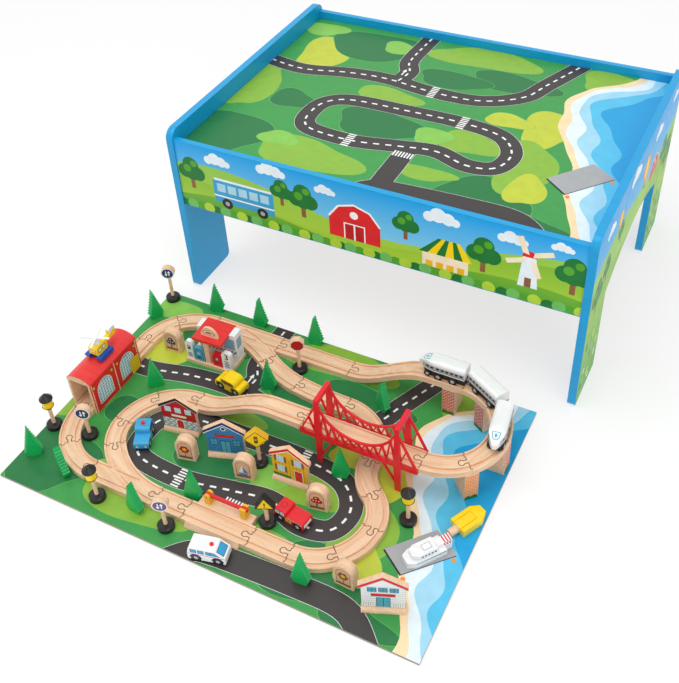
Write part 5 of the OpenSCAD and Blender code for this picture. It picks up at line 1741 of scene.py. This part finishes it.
class TRAINTABLE_OT_signs(bpy.types.Operator):
    """Finish the road signs"""

    bl_idname = "train_table.signs"
    bl_label = "Finish Signs"

    stand_h = 11.0
    half_t = 6.5
    middle_z = 66.0
    radius = 14.0
    diamond = 21.2
    triangle = 20.0

    def polygon(self, count, r, turn, z):
        """A regular polygon about the sign's middle."""
        return [(r * math.cos(math.radians(turn + 360 * k / count)),
                 z + r * math.sin(math.radians(turn + 360 * k / count))) for k in range(count)]

    def round_face(self, sheet, key, z):
        """Prints a round sign with two arrows."""
        sheet.lay("line_white", disc(0, z, self.radius - 0.6, steps=32))
        sheet.lay(key, disc(0, z, self.radius - 2.2, steps=32), 1)
        for way in (1, -1):
            arrow = [(1, -7), (3, -7), (3, 2), (6, 2), (2, 8), (-1, 2), (1, 2)]
            sheet.lay("line_white", [(way * (x + 1), z + way * y * 0.9) for x, y in arrow], 2)

    def execute(self, context):
        paint("sign_stands", painted_wood("black"), [
            (lambda p, n, _: p.z > self.stand_h + 0.2, bare_wood("beech"))], poses=SIGNS)
        paint("sign_faces", bare_wood("beech"), [
            (lambda p, n, pose: pose[2] == 3, painted_wood("black")),
            (lambda p, n, pose: pose[2] == 2, painted_wood("amber")),
        ], poses=SIGNS)
        sheet = Print("sign_print")
        for i, spot in enumerate(SIGNS):
            pose = (spot[0], spot[1], SIGN_TURN)
            z = self.middle_z + spot[3]
            for name in ("front", "back"):
                sheet.side(pose, name, self.half_t)
                if spot[2] == 0:
                    self.round_face(sheet, "plum" if i == 2 else "navy", z)
                elif spot[2] == 1:
                    sheet.lay("line_white", self.polygon(8, self.radius - 0.5, 22.5, z))
                    sheet.lay("dark_red", self.polygon(8, self.radius - 1.3, 22.5, z), 1)
                elif spot[2] == 2:
                    sheet.lay("black", self.polygon(4, self.diamond - 0.8, 0, z))
                    sheet.lay("yellow", self.polygon(4, self.diamond - 2.4, 0, z), 1)
                    sheet.box("black", -3.2, z - 9, 6.4, 18, 2)
                    for key, y in (("signal_red", 5.4), ("amber", 0), ("leaf", -5.4)):
                        sheet.dot(key, 0, z + y, 2.2, 3)
                else:
                    sheet.lay("yellow", self.polygon(3, self.triangle - 4.6, 90, z - 10))
                    sheet.box("black", -1.2, z - 11, 2.4, 7, 1)
                    sheet.dot("black", 0, z - 14, 1.4, 1)
        sheet.build()
        return {"FINISHED"}


class TRAINTABLE_OT_lamps(bpy.types.Operator):
    """Finish the street lamps"""

    bl_idname = "train_table.lamps"
    bl_label = "Finish Street Lamps"

    stand_h = 11.0
    cup_z = 52.0
    band = (57.0, 74.2)

    def execute(self, context):
        paint("street_lamps", painted_wood("black"), [
            (lambda p, n, _: self.stand_h + 0.2 < p.z < self.cup_z, bare_wood("beech")),
            (lambda p, n, _: self.band[0] < p.z < self.band[1] and abs(n.z) < 0.3, moulded("yellow")),
        ], BOARD)
        return {"FINISHED"}


class TRAINTABLE_OT_gate(bpy.types.Operator):
    """Finish the crossing gate"""

    bl_idname = "train_table.gate"
    bl_label = "Finish Crossing Gate"

    def execute(self, context):
        paint("gate_posts", painted_wood("amber"))
        paint("gate_arm", painted_wood("signal_red"))
        return {"FINISHED"}


class TRAINTABLE_OT_stage(bpy.types.Operator):
    """Set up the floor, the soft light and the camera"""

    bl_idname = "train_table.stage"
    bl_label = "Set Up Stage"

    image = (679, 683)
    focal_px = 968.2751
    middle_y_px = 270.0
    yaw = -0.5151
    pitch = -0.7003
    roll = -0.0624
    eye = (0.6611, -1.2633, 1.3753)
    sensor = 36.0
    floor_half = 8.0
    floor_drop = 0.0004
    floor_tone = 0.36
    floor_glow = 0.64
    even_light = 0.74

    def add_camera(self):
        """Stands the camera where the photograph was taken from."""
        level = math.cos(self.pitch)
        forward = Vector((math.sin(self.yaw) * level, math.cos(self.yaw) * level, math.sin(self.pitch)))
        right = Vector((math.cos(self.yaw), -math.sin(self.yaw), 0))
        up = right.cross(forward)
        right, up = (math.cos(self.roll) * right + math.sin(self.roll) * up,
                     math.cos(self.roll) * up - math.sin(self.roll) * right)
        data = bpy.data.cameras.new("photo_camera")
        data.sensor_width = self.sensor
        data.lens = self.focal_px / max(self.image) * self.sensor
        data.shift_y = (self.middle_y_px - self.image[1] / 2) / max(self.image)
        camera = bpy.data.objects.new("photo_camera", data)
        turn = Matrix((right, up, -forward)).transposed()
        camera.matrix_world = Matrix.Translation(self.eye) @ turn.to_4x4()
        bpy.context.scene.collection.objects.link(camera)
        bpy.context.scene.camera = camera

    def add_lamp(self, name, place, target, size, power):
        """A square soft lamp that faces a point."""
        data = bpy.data.lights.new(name, "AREA")
        data.size = size
        data.energy = power
        lamp = bpy.data.objects.new(name, data)
        lamp.location = place
        lamp.rotation_euler = (Vector(target) - Vector(place)).to_track_quat("-Z", "Y").to_euler()
        bpy.context.scene.collection.objects.link(lamp)

    def add_floor(self):
        """A plain white floor that keeps the shadows."""
        half = self.floor_half
        mesh = bpy.data.meshes.new("studio_floor")
        corners = [(-half, -half, 0), (half, -half, 0), (half, half, 0), (-half, half, 0)]
        mesh.from_pydata(corners, [], [(0, 1, 2, 3)])
        floor = bpy.data.objects.new("studio_floor", mesh)
        floor.location.z = -self.floor_drop
        finish = Finish("studio_floor")
        base = tinted(tuple(paints().floor), self.floor_tone)
        cloud = finish.noise(0.8, 1)
        finish.shader.inputs["Emission Color"].default_value = (1, 1, 1, 1)
        finish.shader.inputs["Emission Strength"].default_value = self.floor_glow
        mesh.materials.append(finish.surface(
            finish.ramp(cloud, tinted(base, 0.995), base), finish.spread(cloud, 0, 1, 0.85, 0.9),
            shine=0.0))
        bpy.context.scene.collection.objects.link(floor)

    def add_world(self):
        """White surroundings to the eye and in reflections, and an even light for the rest."""
        world = bpy.data.worlds.new("studio")
        world.use_nodes = True
        nodes, links = world.node_tree.nodes, world.node_tree.links
        rays = nodes.new("ShaderNodeLightPath")
        seen = rays.outputs["Is Camera Ray"]
        for kind in ("Is Glossy Ray", "Is Transmission Ray"):
            either = nodes.new("ShaderNodeMath")
            either.operation = "MAXIMUM"
            links.new(seen, either.inputs[0])
            links.new(rays.outputs[kind], either.inputs[1])
            seen = either.outputs["Value"]
        strength = nodes.new("ShaderNodeMapRange")
        strength.inputs["To Min"].default_value = self.even_light
        strength.inputs["To Max"].default_value = 1.0
        links.new(seen, strength.inputs["Value"])
        links.new(strength.outputs["Result"], nodes["Background"].inputs["Strength"])
        nodes["Background"].inputs["Color"].default_value = (1, 1, 1, 1)
        bpy.context.scene.world = world

    def execute(self, context):
        self.add_camera()
        self.add_floor()
        self.add_world()
        self.add_lamp("overhead", (-0.5, -0.6, 3.2), (0, 0, 0), 2.6, 48)
        self.add_lamp("side_fill", (2.6, -2.2, 2.2), (0, 0, 0.2), 2.0, 18)
        context.scene.view_settings.view_transform = "Standard"
        return {"FINISHED"}


STEPS = (
    TRAINTABLE_OT_table, TRAINTABLE_OT_play_maps, TRAINTABLE_OT_fittings, TRAINTABLE_OT_tracks,
    TRAINTABLE_OT_risers, TRAINTABLE_OT_bridge, TRAINTABLE_OT_train, TRAINTABLE_OT_vehicles,
    TRAINTABLE_OT_helicopter, TRAINTABLE_OT_boats, TRAINTABLE_OT_shed, TRAINTABLE_OT_fuel_station,
    TRAINTABLE_OT_houses, TRAINTABLE_OT_blocks, TRAINTABLE_OT_trees, TRAINTABLE_OT_signs,
    TRAINTABLE_OT_lamps, TRAINTABLE_OT_gate, TRAINTABLE_OT_stage,
)


class TRAINTABLE_PT_finishes(bpy.types.Panel):
    """Lists the steps and settings of the train table"""

    bl_idname = "TRAINTABLE_PT_finishes"
    bl_label = "Train Table"
    bl_space_type = "VIEW_3D"
    bl_region_type = "UI"
    bl_category = "Train Table"

    def draw(self, context):
        column = self.layout.column()
        for step in STEPS:
            column.operator(step.bl_idname)
        for settings in (context.scene.train_table_sizes, context.scene.train_table_colours):
            for key in settings.__annotations__:
                column.prop(settings, key)


CLASSES = (TrainTableColours, TrainTableSizes) + STEPS + (TRAINTABLE_PT_finishes,)


def register():
    """Registers the classes and the settings."""
    for cls in CLASSES:
        bpy.utils.register_class(cls)
    bpy.types.Scene.train_table_colours = PointerProperty(type=TrainTableColours)
    bpy.types.Scene.train_table_sizes = PointerProperty(type=TrainTableSizes)


def unregister():
    """Removes the settings and the classes."""
    del bpy.types.Scene.train_table_sizes
    del bpy.types.Scene.train_table_colours
    for cls in reversed(CLASSES):
        bpy.utils.unregister_class(cls)


def main():
    """Runs every step."""
    register()
    for step in STEPS:
        group, name = step.bl_idname.split(".")
        getattr(getattr(bpy.ops, group), name)()


if __name__ == "__main__":
    main()
